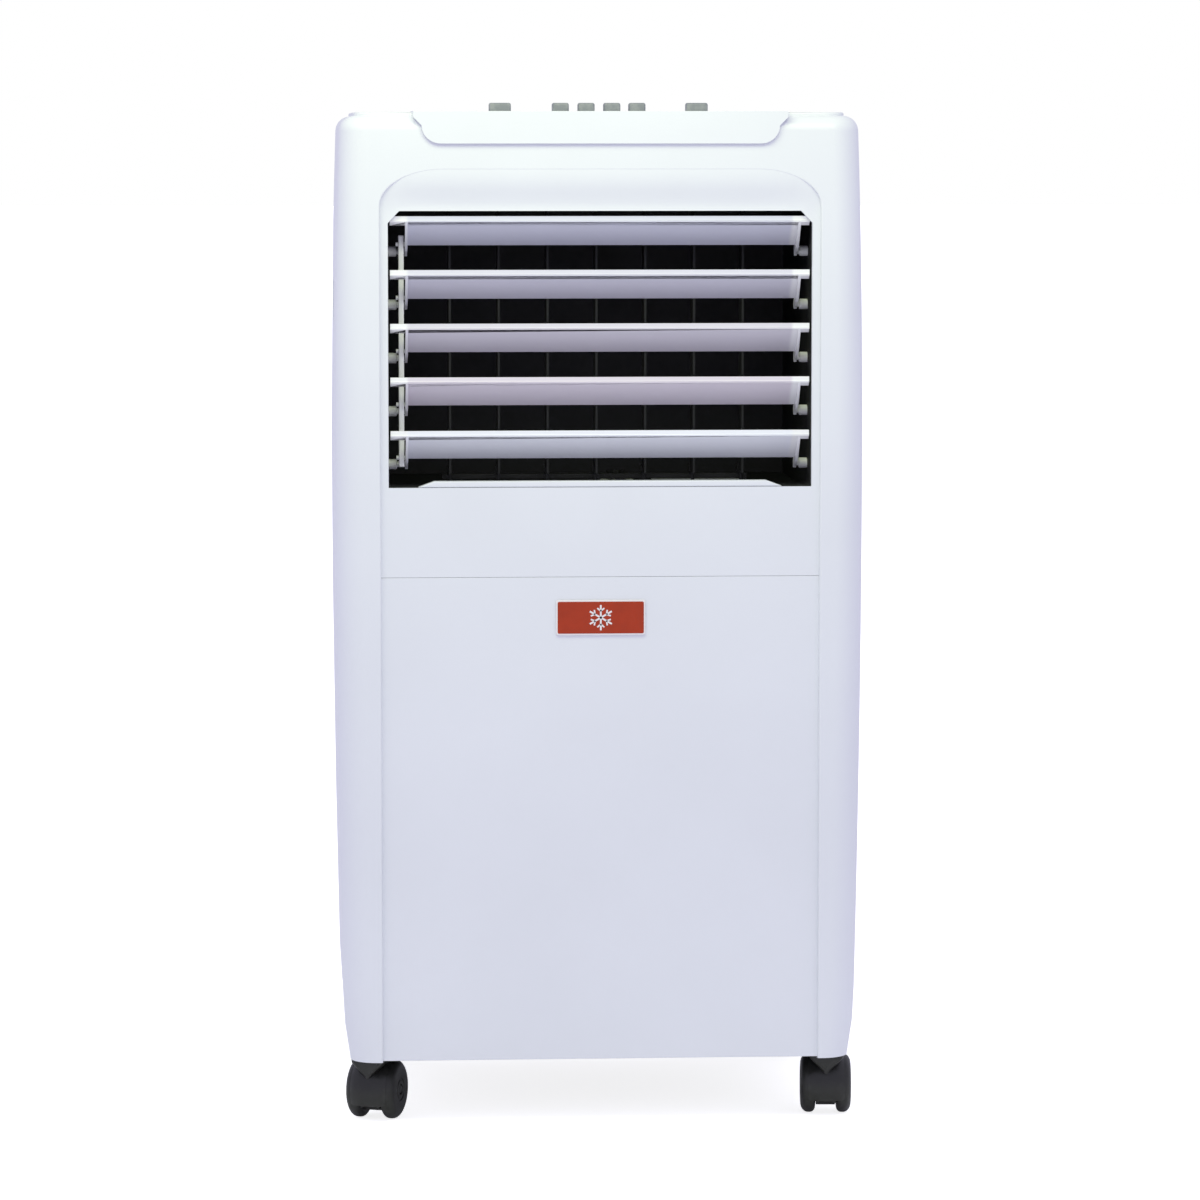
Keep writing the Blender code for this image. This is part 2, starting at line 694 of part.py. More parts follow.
def blower():
    """The scroll and its cover, the wheel on its shaft, and the motor on its bracket."""
    outside, wall = scroll_outlines()
    front, back = SCROLL_Y
    scroll = plate("blower_scroll", wall, "Y", front + 0.001, back)
    face = plate("face", outside, "Y", front, front + SCROLL_T)
    hole = rod("hole", (FAN_X, front - PAST, FAN_Z), (FAN_X, front + PAST, FAN_Z), NOSE_R)
    paint(cut(join(scroll, face), hole), (0.75, 0.76, 0.78), 0.5)

    cover = plate("scroll_cover", outside, "Y", back + GAP, back + GAP + 0.0025)
    bell = rod("bell", (FAN_X, back + 0.001, FAN_Z), (FAN_X, back + 0.012, FAN_Z),
               INLET_R + 0.003, 32, INLET_R + 0.012)
    inlet = rod("inlet", (FAN_X, back - PAST, FAN_Z), (FAN_X, back + 2 * PAST, FAN_Z), INLET_R, 32)
    join(cover, bell)
    paint(cut(cover, inlet), (0.75, 0.76, 0.78), 0.5)

    near, far = FAN_Y
    wheel = rod("blower_wheel", (FAN_X, near, FAN_Z), (FAN_X, near + 0.002, FAN_Z), FAN_R, 40)
    rim = rod("rim", (FAN_X, far - 0.003, FAN_Z), (FAN_X, far, FAN_Z), FAN_R, 40)
    rim_hole = rod("rim_hole", (FAN_X, far - PAST, FAN_Z), (FAN_X, far + PAST, FAN_Z), FAN_R - RIM_WIDTH, 40)
    bake(cut(rim, rim_hole))
    fins = []
    thick, wide, angle = FIN
    for i in range(FAN_BLADES):
        fin = box("fin", (-thick / 2, near + 0.001, -wide / 2), (thick / 2, far - 0.0015, wide / 2))
        lean = Matrix.Rotation(angle, 4, "Y")
        out = Matrix.Translation((0.0, 0.0, FAN_R - 0.0065))
        turn = Matrix.Rotation(2 * math.pi * (i + 0.3) / FAN_BLADES, 4, "Y")
        fin.data.transform(Matrix.Translation((FAN_X, 0, FAN_Z)) @ turn @ out @ lean)
        fins.append(fin)
    hub = rod("hub", (FAN_X, near - 0.003, FAN_Z), (FAN_X, near + 0.020, FAN_Z), HUB_R, 16)
    bore = rod("bore", (FAN_X, near - PAST, FAN_Z), (FAN_X, near + 3 * PAST, FAN_Z), SHAFT_R + GAP, 16)
    join(wheel, hub, together("fins", fins), rim)
    cut(wheel, bore)
    bake(wheel)
    paint(pivot(wheel, (FAN_X, (near + far) / 2, FAN_Z)), CHARCOAL, 0.5)

    motor_front, motor_back = MOTOR_Y
    shaft = rod("motor_shaft", (FAN_X, motor_back + GAP, FAN_Z), (FAN_X, near + 0.022, FAN_Z), SHAFT_R, 16)
    paint(pivot(shaft, (FAN_X, motor_back + GAP, FAN_Z)), (0.6, 0.6, 0.6), 0.25, 1.0)
    motor = rod("fan_motor", (FAN_X, motor_front, FAN_Z), (FAN_X, motor_back, FAN_Z), MOTOR_R, 36)
    nose = rod("nose", (FAN_X, motor_front - 0.006, FAN_Z), (FAN_X, motor_front + PAST, FAN_Z), NOSE_R)
    paint(join(motor, nose), (0.42, 0.43, 0.44), 0.35, 1.0)

    place, foot_r = BRACKET_FOOT
    feet = [rod("foot", (FAN_X + a * place, motor_back + 0.001, FAN_Z + b * place),
                (FAN_X + a * place, front - GAP, FAN_Z + b * place), foot_r, 10)
            for a in (-1, 1) for b in (-1, 1)]
    bracket = plate("motor_bracket", rounded(
        (FAN_X - BRACKET_HALF, FAN_Z - BRACKET_HALF), (FAN_X + BRACKET_HALF, FAN_Z + BRACKET_HALF), 0.012),
        "Y", motor_back + GAP, motor_back + 0.0027)
    shaft_hole = rod("shaft_hole", (FAN_X, motor_back - PAST, FAN_Z),
                     (FAN_X, motor_back + PAST, FAN_Z), 0.012)
    paint(cut(join(bracket, *feet), shaft_hole), (0.55, 0.56, 0.57), 0.4, 1.0)


# Water path

def cooling():
    """The wet pad in its frame, the trough above it, and the pump and hose that feed it."""
    (front, back), (low, high) = PAD_Y, PAD_Z
    pad = box("cooling_pad", (-PAD_HALF, front, low), (PAD_HALF, back, high))
    paint(pad, (0.42, 0.30, 0.16), 0.9)
    rim = PAD_RIM
    frame = box("pad_frame", (-PAD_HALF - rim, front - 0.004, low - rim - 0.010),
                (PAD_HALF + rim, back + 0.003, high + rim))
    hollow = box("hollow", (-PAD_HALF - GAP, front - PAST, low - GAP),
                 (PAD_HALF + GAP, back + PAST, high + GAP))
    drains = [rod("drain", (x, PUMP_AT[1], low - 3 * PAST), (x, PUMP_AT[1], low + PAST), 0.005, 10)
              for x in (-0.05, 0.0, 0.05, 0.1)]
    paint(cut(frame, hollow, together("drains", drains)), WHITE)

    base = high + rim + GAP
    wall = 0.0025
    middle = (front + back) / 2
    trough = box("water_distributor", (-PAD_HALF, front, base), (PAD_HALF, back, base + TROUGH_HEIGHT))
    channel = box("channel", (-PAD_HALF + wall, front + wall, base + 0.003),
                  (PAD_HALF - wall, back - wall, base + TROUGH_HEIGHT + PAST))
    jets = [rod("jet", (x * 0.02, middle, base - PAST), (x * 0.02, middle, base + PAST), 0.002, 6)
            for x in range(-6, 7, 3)]
    paint(cut(trough, channel, together("jets", jets)), WHITE)

    x, y = PUMP_AT
    pump = plate("water_pump", rounded((x - PUMP_HALF, y - PUMP_HALF), (x + PUMP_HALF, y + PUMP_HALF), 0.006),
                 "Z", TANK_Z[0] + TANK_T + 0.002, PUMP_TOP_Z)
    stay = rod("stay", (x, y + 0.010, PUMP_TOP_Z - 0.002), (x, y + 0.010, low - rim - 0.010 - GAP), 0.006, 16)
    paint(join(pump, stay), CHARCOAL, 0.5)

    hose_y = y - 0.014
    bend = 0.012
    rise = base + 0.020
    points = [(x, hose_y, PUMP_TOP_Z + GAP), (x, hose_y, 0.300), (x, hose_y, 0.500)]
    turn = arc((hose_y + bend, rise), (bend, bend), 180, 0, 8)
    points += [(x, across, up) for across, up in turn]
    points.append((x, hose_y + 2 * bend, base + 0.008))
    paint(tube("pump_hose", points, HOSE_R), (0.6, 0.65, 0.68), 0.3)


def water_tank():
    """The drawer that holds the water. Its rear panel fills the mouth in the rear casing."""
    (front, back), (low, high) = TANK_Y, TANK_Z
    tank = box("water_tank", (-TANK_HALF, front, low), (TANK_HALF, back, high))
    hollow = box("hollow", (-TANK_HALF + TANK_T, front + TANK_T, low + TANK_T),
                 (TANK_HALF - TANK_T, back - TANK_T, high + PAST))
    half, bottom, top = TANK_DOOR
    door = plate("door", rounded((-half, bottom), (half, top), 0.0045), "Y",
                 back - 0.001, HALF_DEPTH - 0.0005)
    wall = 0.0025
    grip_low, grip_high = TANK_GRIP_Z
    cup = box("cup", (-TANK_GRIP_HALF - wall, back - TANK_GRIP_DEPTH - wall, grip_low - wall),
              (TANK_GRIP_HALF + wall, back + 0.001, grip_high + wall))
    grip = box("grip", (-TANK_GRIP_HALF, back - TANK_GRIP_DEPTH, grip_low),
               (TANK_GRIP_HALF, HALF_DEPTH + PAST, grip_high))
    cut(tank, hollow)
    join(tank, door, cup)
    cut(tank, grip)
    paint(tank, (0.80, 0.83, 0.87), 0.35)

    x, z = LATCH_AT
    y = HALF_DEPTH + GAP
    half_height, reach = LATCH
    latch = plate("tank_latch", rounded((x - half_height, z - half_height), (x + reach, z + half_height), 0.0055),
                  "Y", y, y + LIP_T)
    paint(pivot(latch, (x, y, z)), WHITE)


# Rear

def rear_grille():
    """The lift-off rear grille, with the dust filter clipped behind it."""
    low, high = GRILLE_Z
    face_y = HALF_DEPTH - 0.0008
    grille = plate("rear_grille", rounded((-GRILLE_HALF, low), (GRILLE_HALF, high), 0.0075), "Y",
                   face_y - GRILLE_T, face_y)
    border = 0.020
    pitch = (high - low - 2 * border) / GRILLE_SLOTS
    inner, outer, half_height = SLOT
    slots = []
    for i in range(GRILLE_SLOTS):
        z = low + border + (i + 0.5) * pitch
        for left, right in ((-outer, -inner), (inner, outer)):
            slots.append(box("slot", (left, face_y - PAST, z - half_height),
                             (right, face_y + PAST, z + half_height)))
    paint(cut(grille, together("slots", slots)), WHITE)

    far = face_y - GRILLE_T - GAP
    near = far - FILTER_T
    foot, head = low + 0.006, high - 0.006
    dust = box("dust_filter", (-FILTER_HALF, near, foot), (FILTER_HALF, far, head))
    across, down = FILTER_CELLS
    half_rib = FILTER_RIB / 2
    cells = []
    cell_w = 2 * (FILTER_HALF - FILTER_RIB) / across
    cell_h = (head - foot - 2 * FILTER_RIB) / down
    for i in range(across):
        for k in range(down):
            x = -FILTER_HALF + FILTER_RIB + i * cell_w
            z = foot + FILTER_RIB + k * cell_h
            cells.append(box("cell", (x + half_rib, near - PAST, z + half_rib),
                             (x + cell_w - half_rib, far + PAST, z + cell_h - half_rib)))
    paint(cut(dust, together("cells", cells)), CHARCOAL, 0.8)


def cable_gland():
    x, z = GLAND_AT
    flange_r, barrel_r, bore_r = GLAND_R
    y = HALF_DEPTH + GAP
    gland = rod("cable_gland", (x, y, z), (x, y + LIP_T, z), flange_r, 24)
    barrel = rod("barrel", (x, y - 0.010, z), (x, y + 0.001, z), barrel_r, 20)
    bore = rod("bore", (x, y - 2 * PAST, z), (x, y + PAST, z), bore_r, 16)
    paint(cut(join(gland, barrel), bore), BLACK, 0.5)


# Top

def top_pieces():
    """The top cover, the control console that laps over the front edge, and the switches under it."""
    low = CASING_TOP_Z + GAP
    cover_half = half_width(CASING_TOP_Z) - EDGE + 0.001
    depth = HALF_DEPTH - EDGE + 0.001
    cover = plate("top_cover", rounded((-cover_half, -depth), (cover_half, depth), 0.014), "Z",
                  low, TOP_Z - 0.0007)
    notch = box("notch", (-CONSOLE_HALF - GAP, -HALF_DEPTH - PAST, low - PAST),
                (CONSOLE_HALF + GAP, COVER_FRONT_Y, TOP_Z + PAST))
    paint(cut(cover, notch), WHITE)

    front = -HALF_DEPTH - GAP - LIP_T
    console = box("control_panel", (-CONSOLE_HALF, front, low), (CONSOLE_HALF, COVER_FRONT_Y - GAP, TOP_Z))
    across, down = CONSOLE_CORNER
    corner = arc((CONSOLE_HALF - 0.018, CONSOLE_LIP_Z + down), (across, down), 0, -90, 6)
    half = [(CONSOLE_HALF, TOP_Z - 0.001), (CONSOLE_HALF, TOP_Z - 0.004)] + corner
    apron = plate("apron", half + [(-x, z) for x, z in reversed(half)], "Y", front, COVER_FRONT_Y - 0.010)
    face = -HALF_DEPTH - GAP
    shoulder = arc((face + EDGE, low - EDGE), (EDGE, EDGE), 180, 90, 5)
    casing_edge = plate("casing_edge", [(face, 0.600)] + shoulder + [(0.0, low), (0.0, 0.600)], "X",
                        -HALF_WIDTH, HALF_WIDTH)
    deep = KEY_DEPTH / 2 + KEY_CLEARANCE
    holes = [box("key_hole", (x - width / 2 - KEY_CLEARANCE, KEY_Y - deep, low - PAST),
                 (x + width / 2 + KEY_CLEARANCE, KEY_Y + deep, TOP_Z + PAST))
             for _, x, width in KEYS]
    join(console, apron)
    paint(cut(console, casing_edge, together("key_holes", holes)), WHITE)

    for name, x, width in KEYS:
        key = plate(name, rounded((x - width / 2, KEY_Y - KEY_DEPTH / 2),
                                  (x + width / 2, KEY_Y + KEY_DEPTH / 2), 0.0015, 2), "Z",
                    KEY_FOOT_Z, KEY_TOP_Z)
        paint(pivot(key, (x, KEY_Y, CASING_TOP_Z)), (0.06, 0.065, 0.075), 0.45)

    bank_top = KEY_FOOT_Z - KEY_TRAVEL - 0.0005
    bank = box("switch_bank", (-BANK_HALF, KEY_Y - 0.010, bank_top - BANK_HEIGHT),
               (BANK_HALF, KEY_Y + 0.014, bank_top))
    posts = [box("post", (x - 0.004, KEY_Y - 0.008, bank_top - 0.002), (x + 0.004, KEY_Y + 0.012, low - GAP))
             for x in (-0.046, 0.046)]
    paint(join(bank, *posts), CHARCOAL, 0.5)


# Base

def base_tray():
    floor_z = BOTTOM_Z + 0.0005
    half, front, back = TRAY
    tray = plate("base_tray", rounded((-half, front), (half, back), 0.016), "Z",
                 floor_z, floor_z + TRAY_T)
    bosses = [rod("boss", (x, y, floor_z + 0.001), (x, y, BOTTOM_Z + STEM_RISE + 0.003), BOSS_R, 14)
              for _, x, y, _ in CASTORS]
    rails = [box("rail", (x - 0.005, -0.120, floor_z + 0.001), (x + 0.005, 0.134, TANK_Z[0] - GAP))
             for x in (-RAIL_X, RAIL_X)]
    head = BOTTOM_Z + STEM_RISE + 0.001
    sockets = [rod("socket", (x, y, floor_z - PAST), (x, y, head), STEM_R + RUNNING, 10)
               for _, x, y, _ in CASTORS]
    join(tray, together("bosses", bosses), together("rails", rails))
    paint(cut(tray, together("sockets", sockets)), (0.10, 0.10, 0.11), 0.5)


def castor_meshes():
    """The fork and one wheel of a castor, made round its swivel axis at the origin, rolling along Y."""
    y, z = TRAIL, WHEEL_R
    near, far = WHEEL_X
    web = near - RUNNING
    fork = rod("fork", (-web, y, z), (web, y, z), WHEEL_R - 0.003, 20)
    under = BOTTOM_Z + CABINET_RISE
    neck = box("neck", (-web + 0.0002, -0.007, z), (web - 0.0002, y + 0.002, under - 0.002))
    cap = rod("cap", (0, 0, under - 0.0032), (0, 0, under + 0.0002), CAP_R, 16)
    stem = rod("stem", (0, 0, under - 0.002), (0, 0, under + STEM_RISE), STEM_R, 10)
    axle = rod("axle", (-far + 0.0004, y, z), (far - 0.0004, y, z), AXLE_R, 10)
    inner, outer = HOOD_R
    rib = plate("rib", ring_part((y, z), 0.010, inner + 0.0007, *HOOD_TURN, 14), "X", -web, web)
    hood = plate("hood", ring_part((y, z), inner, outer, *HOOD_TURN, 14), "X", -HOOD_HALF, HOOD_HALF)
    bake(join(fork, neck, cap, stem, axle, rib, hood))
    bore = AXLE_R + RUNNING
    profile = [(bore, near), (WHEEL_R, near), (WHEEL_R, near + 0.0055)]
    profile += [(WHEEL_R - 0.0025, near + 0.0085), (WHEEL_R - 0.007, far), (bore, far)]
    wheel = turned("wheel", profile, 24, (0, y, z), (1, 0, 0))
    return fork, wheel


def castors():
    fork, wheel = castor_meshes()
    mirrored = to_object("wheel_mirrored", wheel.data.copy())
    mirrored.data.transform(Matrix.Diagonal((-1, 1, 1, 1)))
    mirrored.data.flip_normals()
    axle_at = (0.0, TRAIL, WHEEL_R)
    for name, x, y, yaw in CASTORS:
        place = Matrix.Translation((x, y, 0)) @ Matrix.Rotation(yaw, 4, "Z")
        swivel = to_object(f"castor_fork_{name}", fork.data)
        swivel.matrix_world = place
        paint(swivel, BLACK, 0.45)
        for side, source in (("b", wheel), ("a", mirrored)):
            roller = to_object(f"castor_wheel_{name}_{side}", source.data.copy())
            pivot(roller, axle_at)
            roller.matrix_world = place @ Matrix.Translation(axle_at)
            paint(roller, BLACK, 0.45)
    for pattern in (fork, wheel, mirrored):
        bpy.data.objects.remove(pattern)


def raise_cabinet():
    """Stand everything made so far at its height over the castors."""
    stand = bpy.data.objects.new("cabinet", None)
    stand.location.z = CABINET_RISE
    for item in (*PARTS.objects, *CUTTERS.objects):
        item.parent = stand
    PARTS.objects.link(stand)


front_casing()
rear_casing()
louvre_frame()
lower_front_panel()
badge()
louvre_blades()
outlet_duct()
vanes()
swing_drive()
blower()
cooling()
water_tank()
rear_grille()
cable_gland()
top_pieces()
base_tray()
raise_cabinet()
castors()
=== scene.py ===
"""Looks for the evaporative air cooler: its surfaces, small fittings, materials, light and camera."""

import json
import math

import bmesh
import bpy
from mathutils import Matrix, Vector


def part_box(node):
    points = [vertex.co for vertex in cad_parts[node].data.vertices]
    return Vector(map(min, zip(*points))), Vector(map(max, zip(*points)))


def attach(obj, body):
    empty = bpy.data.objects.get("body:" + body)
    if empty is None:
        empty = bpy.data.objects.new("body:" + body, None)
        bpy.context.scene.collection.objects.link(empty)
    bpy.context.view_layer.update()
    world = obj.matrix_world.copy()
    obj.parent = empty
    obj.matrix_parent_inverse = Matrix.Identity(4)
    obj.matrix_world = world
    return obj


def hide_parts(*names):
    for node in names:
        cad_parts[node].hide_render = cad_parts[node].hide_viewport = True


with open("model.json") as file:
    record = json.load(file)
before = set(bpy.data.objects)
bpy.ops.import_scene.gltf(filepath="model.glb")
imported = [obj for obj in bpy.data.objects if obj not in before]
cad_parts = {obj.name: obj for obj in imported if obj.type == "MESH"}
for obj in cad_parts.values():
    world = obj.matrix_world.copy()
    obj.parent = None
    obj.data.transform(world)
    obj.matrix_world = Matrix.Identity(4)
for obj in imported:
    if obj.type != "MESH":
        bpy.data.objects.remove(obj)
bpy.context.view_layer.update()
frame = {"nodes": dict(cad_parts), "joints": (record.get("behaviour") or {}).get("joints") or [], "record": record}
SCENE = bpy.context.scene

# Sizes that come from the frame
CASING_LOW, CASING_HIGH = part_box("front_casing")
REAR_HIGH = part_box("rear_casing")[1]
FRAME_LOW, FRAME_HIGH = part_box("louvre_frame")
PANEL_LOW, PANEL_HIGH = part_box("lower_front_panel")
FACE_Y = CASING_LOW.y
PANEL_Y = PANEL_LOW.y
HALF_WIDTH = CASING_HIGH.x

# Shape of the cabinet's skin
FOOT_Z = CASING_LOW.z
WIDEST_Z = FOOT_Z + 0.410
UPPER_NARROWING = (0.0033, 0.2)     # lost from the half width over this height above the widest level
LOWER_NARROWING = (0.0048, 0.4)     # the same below it
FOOT_NARROWING = 0.0036
FOOT_TUCK = 0.040       # height over which the foot tucks in
CORNER = 0.0190
EDGE = 0.010
TOP_LEDGE = 0.004       # how far the skin runs in under the top cover
WALL = 0.004
SKIN_ROWS = 26
SEAM_TURN = 0.0035      # the skin turns in where the two shells meet
SEAM_EDGE = 0.0006
SIDE_Y = (0.03, 0.08)   # sections of the side: behind the seam, and forward of the middle
FOOT_LIP = 0.0004
ARCH_HALF = 0.1468
ARCH_Z = FRAME_HIGH.z - 0.006
ARCH_END = (0.042, 0.024)
ARCH_STEPS = 16
ARCH_LIP = 0.0012       # radius of the edge round the recess
LIP_STEPS = 5
LOWER_SIDE = 0.30       # height of a middle point on the recess's straight side
OUTLET_HALF = 0.1415
OUTLET_Z = (ARCH_Z - 0.211, ARCH_Z - 0.027)

# Castors
WHEEL_R = 0.020
TRAIL = 0.014
CASTOR_NAMES = ("front_left", "front_right", "rear_left", "rear_right")


# Mesh helpers

def finish_mesh(name, bm, smooth=30.0):
    """A mesh object from a bmesh, smooth except where faces meet at more than an angle in degrees."""
    bmesh.ops.recalc_face_normals(bm, faces=bm.faces)
    return raw_mesh(name, bm, smooth)


def raw_mesh(name, bm, smooth=30.0):
    """A mesh object from a bmesh whose faces already point the right way."""
    mesh = bpy.data.meshes.new(name)
    bm.to_mesh(mesh)
    bm.free()
    made = bpy.data.objects.new(name, mesh)
    SCENE.collection.objects.link(made)
    mesh.shade_smooth()
    if smooth:
        mesh.set_sharp_from_angle(angle=math.radians(smooth))
    return made


def modify(made, name, kind, **values):
    """Add a modifier with some of its settings."""
    step = made.modifiers.new(name, kind)
    for key, value in values.items():
        setattr(step, key, value)


def bake(made):
    """Turn an object's modifiers into its mesh."""
    graph = bpy.context.evaluated_depsgraph_get()
    mesh = bpy.data.meshes.new_from_object(made.evaluated_get(graph))
    made.modifiers.clear()
    made.data = mesh
    return made


def soften(made, width, segments=3, angle=30.0, whole_faces=True):
    """Round an object's edges without changing its mesh. Pierced faces stay in triangles."""
    modify(made, "Weld", "WELD", merge_threshold=0.000002)
    if whole_faces:
        modify(made, "Flat", "DECIMATE", decimate_type="DISSOLVE", angle_limit=math.radians(0.4))
    modify(made, "Rounded edges", "BEVEL", width=width, segments=segments, limit_method="ANGLE",
           angle_limit=math.radians(angle), miter_outer="MITER_ARC", use_clamp_overlap=True)
    modify(made, "Normals", "WEIGHTED_NORMAL", keep_sharp=False, weight=80)
    return made


def box_mesh(name, low, high):
    """A box between two corners."""
    low, high = Vector(low), Vector(high)
    bm = bmesh.new()
    size = Matrix.Diagonal((*(high - low), 1.0))
    bmesh.ops.create_cube(bm, size=1.0, matrix=Matrix.Translation((low + high) / 2) @ size)
    return finish_mesh(name, bm)


def arc(centre, radii, start, end, steps):
    """Points along part of an ellipse, from one angle in degrees to another."""
    angles = [math.radians(start + (end - start) * i / steps) for i in range(steps + 1)]
    return [(centre[0] + radii[0] * math.cos(a), centre[1] + radii[1] * math.sin(a)) for a in angles]


def rounded(low, high, radius, steps=5, inset=0.0):
    """The outline of a rectangle with rounded corners, set in from its own sides."""
    left, right = low[0] + inset + radius, high[0] - inset - radius
    bottom, top = low[1] + inset + radius, high[1] - inset - radius
    corners = ((right, top), (left, top), (left, bottom), (right, bottom))
    return [point for i, corner in enumerate(corners)
            for point in arc(corner, (radius, radius), 90 * i, 90 * i + 90, steps)]


AXES = {
    "X": lambda a, b, along: (along, a, b),
    "Y": lambda a, b, along: (a, along, b),
    "Z": lambda a, b, along: (a, b, along),
}


def plate(name, outline, axis, start, end):
    """A flat outline, given in the two other axes, filled from start to end along one axis."""
    return stack(name, axis, [(outline, start), (outline, end)])


def stack(name, axis, levels, smooth=30.0, caps=(0, -1), loop=False):
    """Flat outlines, each with its place along one axis, joined in turn."""
    rows = [[AXES[axis](a, b, along) for a, b in outline] for outline, along in levels]
    return loft(name, rows, smooth, caps, loop)


def loft(name, sections, smooth=30.0, caps=(), loop=False, closed=True):
    """Rows of points joined in turn. Caps close some rows, and a loop joins the last row to the first."""
    bm = bmesh.new()
    rings = [[bm.verts.new(point) for point in section] for section in sections]
    for i in caps:
        bm.faces.new(rings[i])
    for ring, other in zip(rings, rings[1:] + rings[:1] if loop else rings[1:]):
        bridge(bm, ring, other, closed)
    return finish_mesh(name, bm, smooth)


def bridge(bm, ring, other, closed=True):
    """Quads between two rows of vertices."""
    count = len(ring)
    for i in range(count if closed else count - 1):
        k = (i + 1) % count
        bm.faces.new((ring[i], ring[k], other[k], other[i]))


def facing(place, axis):
    """The move that carries the origin to a place and the Z axis to another axis."""
    return Matrix.Translation(place) @ Vector(axis).to_track_quat("Z", "Y").to_matrix().to_4x4()


def lathe(name, profile, centre, axis, steps=48, smooth=30.0):
    """A profile of (radius, along) pairs turned round an axis; its ends close on the axis."""
    bm = bmesh.new()
    rings = []
    for radius, along in profile:
        if radius < 1e-7:
            rings.append([bm.verts.new((0.0, 0.0, along))])
        else:
            rings.append([bm.verts.new((radius * math.cos(t), radius * math.sin(t), along))
                          for t in (2 * math.pi * i / steps for i in range(steps))])
    for ring, other in zip(rings, rings[1:]):
        if len(ring) == 1 or len(other) == 1:
            point, circle = (ring[0], other) if len(ring) == 1 else (other[0], ring)
            for i in range(steps):
                bm.faces.new((point, circle[i], circle[(i + 1) % steps]))
        else:
            bridge(bm, ring, other)
    bmesh.ops.transform(bm, matrix=facing(centre, axis), verts=bm.verts)
    return finish_mesh(name, bm, smooth)


def gather(name, objects):
    """Several meshes as one object."""
    bm = bmesh.new()
    for item in objects:
        bm.from_mesh(item.data)
        bpy.data.objects.remove(item)
    return raw_mesh(name, bm)


def subtract(target, tool):
    """Cut one mesh out of another and drop the tool."""
    modify(target, "Cut", "BOOLEAN", operation="DIFFERENCE", solver="EXACT", object=tool)
    bake(target)
    bpy.data.objects.remove(tool)


def fit(piece, body, slot, *stands_for, material=None):
    """Dress a piece, tie it to its body, and say which CAD nodes it stands for."""
    piece.data.materials.clear()
    piece.data.materials.append(material or MATERIALS[slot])
    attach(piece, body)
    if stands_for:
        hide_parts(*stands_for)
    return piece


# Materials

class Shader:
    """A Principled material and short ways to add nodes to it."""

    def __init__(self, name):
        self.material = bpy.data.materials.new(name)
        self.material.use_nodes = True
        self.nodes = self.material.node_tree.nodes
        self.links = self.material.node_tree.links
        self.surface = self.nodes["Principled BSDF"]
        self.place = self.node("ShaderNodeTexCoord").outputs["Object"]

    def node(self, kind, sockets=None, **values):
        """A new node with some of its settings and sockets."""
        made = self.nodes.new(kind)
        for key, value in values.items():
            setattr(made, key, value)
        for key, value in (sockets or {}).items():
            self.feed(made.inputs[key], value)
        return made

    def feed(self, socket, value):
        """Link an output to a socket, or give the socket a constant."""
        if isinstance(value, bpy.types.NodeSocket):
            self.links.new(value, socket)
        elif socket.type == "RGBA" and len(value) == 3:
            socket.default_value = (*value, 1.0)
        else:
            socket.default_value = value

    def set(self, **values):
        """Links and constants for the surface's own sockets."""
        for key, value in values.items():
            self.feed(self.surface.inputs[key.replace("_", " ")], value)

    def scaled(self, scale):
        """The object's coordinates, stretched."""
        return self.node("ShaderNodeMapping", {"Scale": scale, "Vector": self.place}).outputs["Vector"]

    def maths(self, operation, *values):
        """The result of some arithmetic."""
        return self.node("ShaderNodeMath", dict(enumerate(values)), operation=operation).outputs[0]

    def noise(self, scale, detail=3.0, vector=None, roughness=0.5):
        """Cloudy noise from 0 to 1."""
        sockets = {"Scale": scale, "Detail": detail, "Roughness": roughness, "Vector": vector or self.place}
        return self.node("ShaderNodeTexNoise", sockets).outputs["Fac"]

    def ramp(self, value, stops):
        """A value turned into a colour by (position, colour) stops."""
        made = self.node("ShaderNodeValToRGB", {"Fac": value})
        points = made.color_ramp.elements
        while len(points) < len(stops):
            points.new(0.5)
        for point, (place, colour) in zip(points, stops):
            point.position = place
            point.color = (*colour, 1.0)
        return made.outputs["Color"]

    def mottle(self, value, colour, dark, light, span=(0.3, 0.7)):
        """A colour that turns from darker to lighter with a value."""
        return self.ramp(value, [(place, tuple(min(1.0, channel * factor) for channel in colour))
                                 for place, factor in zip(span, (dark, light))])

    def between(self, value, low, high):
        """A value from 0 to 1 spread between two numbers."""
        sockets = {"To Min": low, "To Max": high, "Value": value}
        return self.node("ShaderNodeMapRange", sockets).outputs["Result"]

    def blend(self, factor, first, second, kind="MIX"):
        """Two colours mixed."""
        sockets = {0: factor, 6: first, 7: second}
        return self.node("ShaderNodeMix", sockets, data_type="RGBA", blend_type=kind).outputs[2]

    def bump(self, height, distance, strength=1.0, onto=None):
        """Fine relief, on top of an earlier one if given."""
        sockets = {"Distance": distance, "Strength": strength, "Height": height}
        if onto:
            sockets["Normal"] = onto
        return self.node("ShaderNodeBump", sockets).outputs["Normal"]


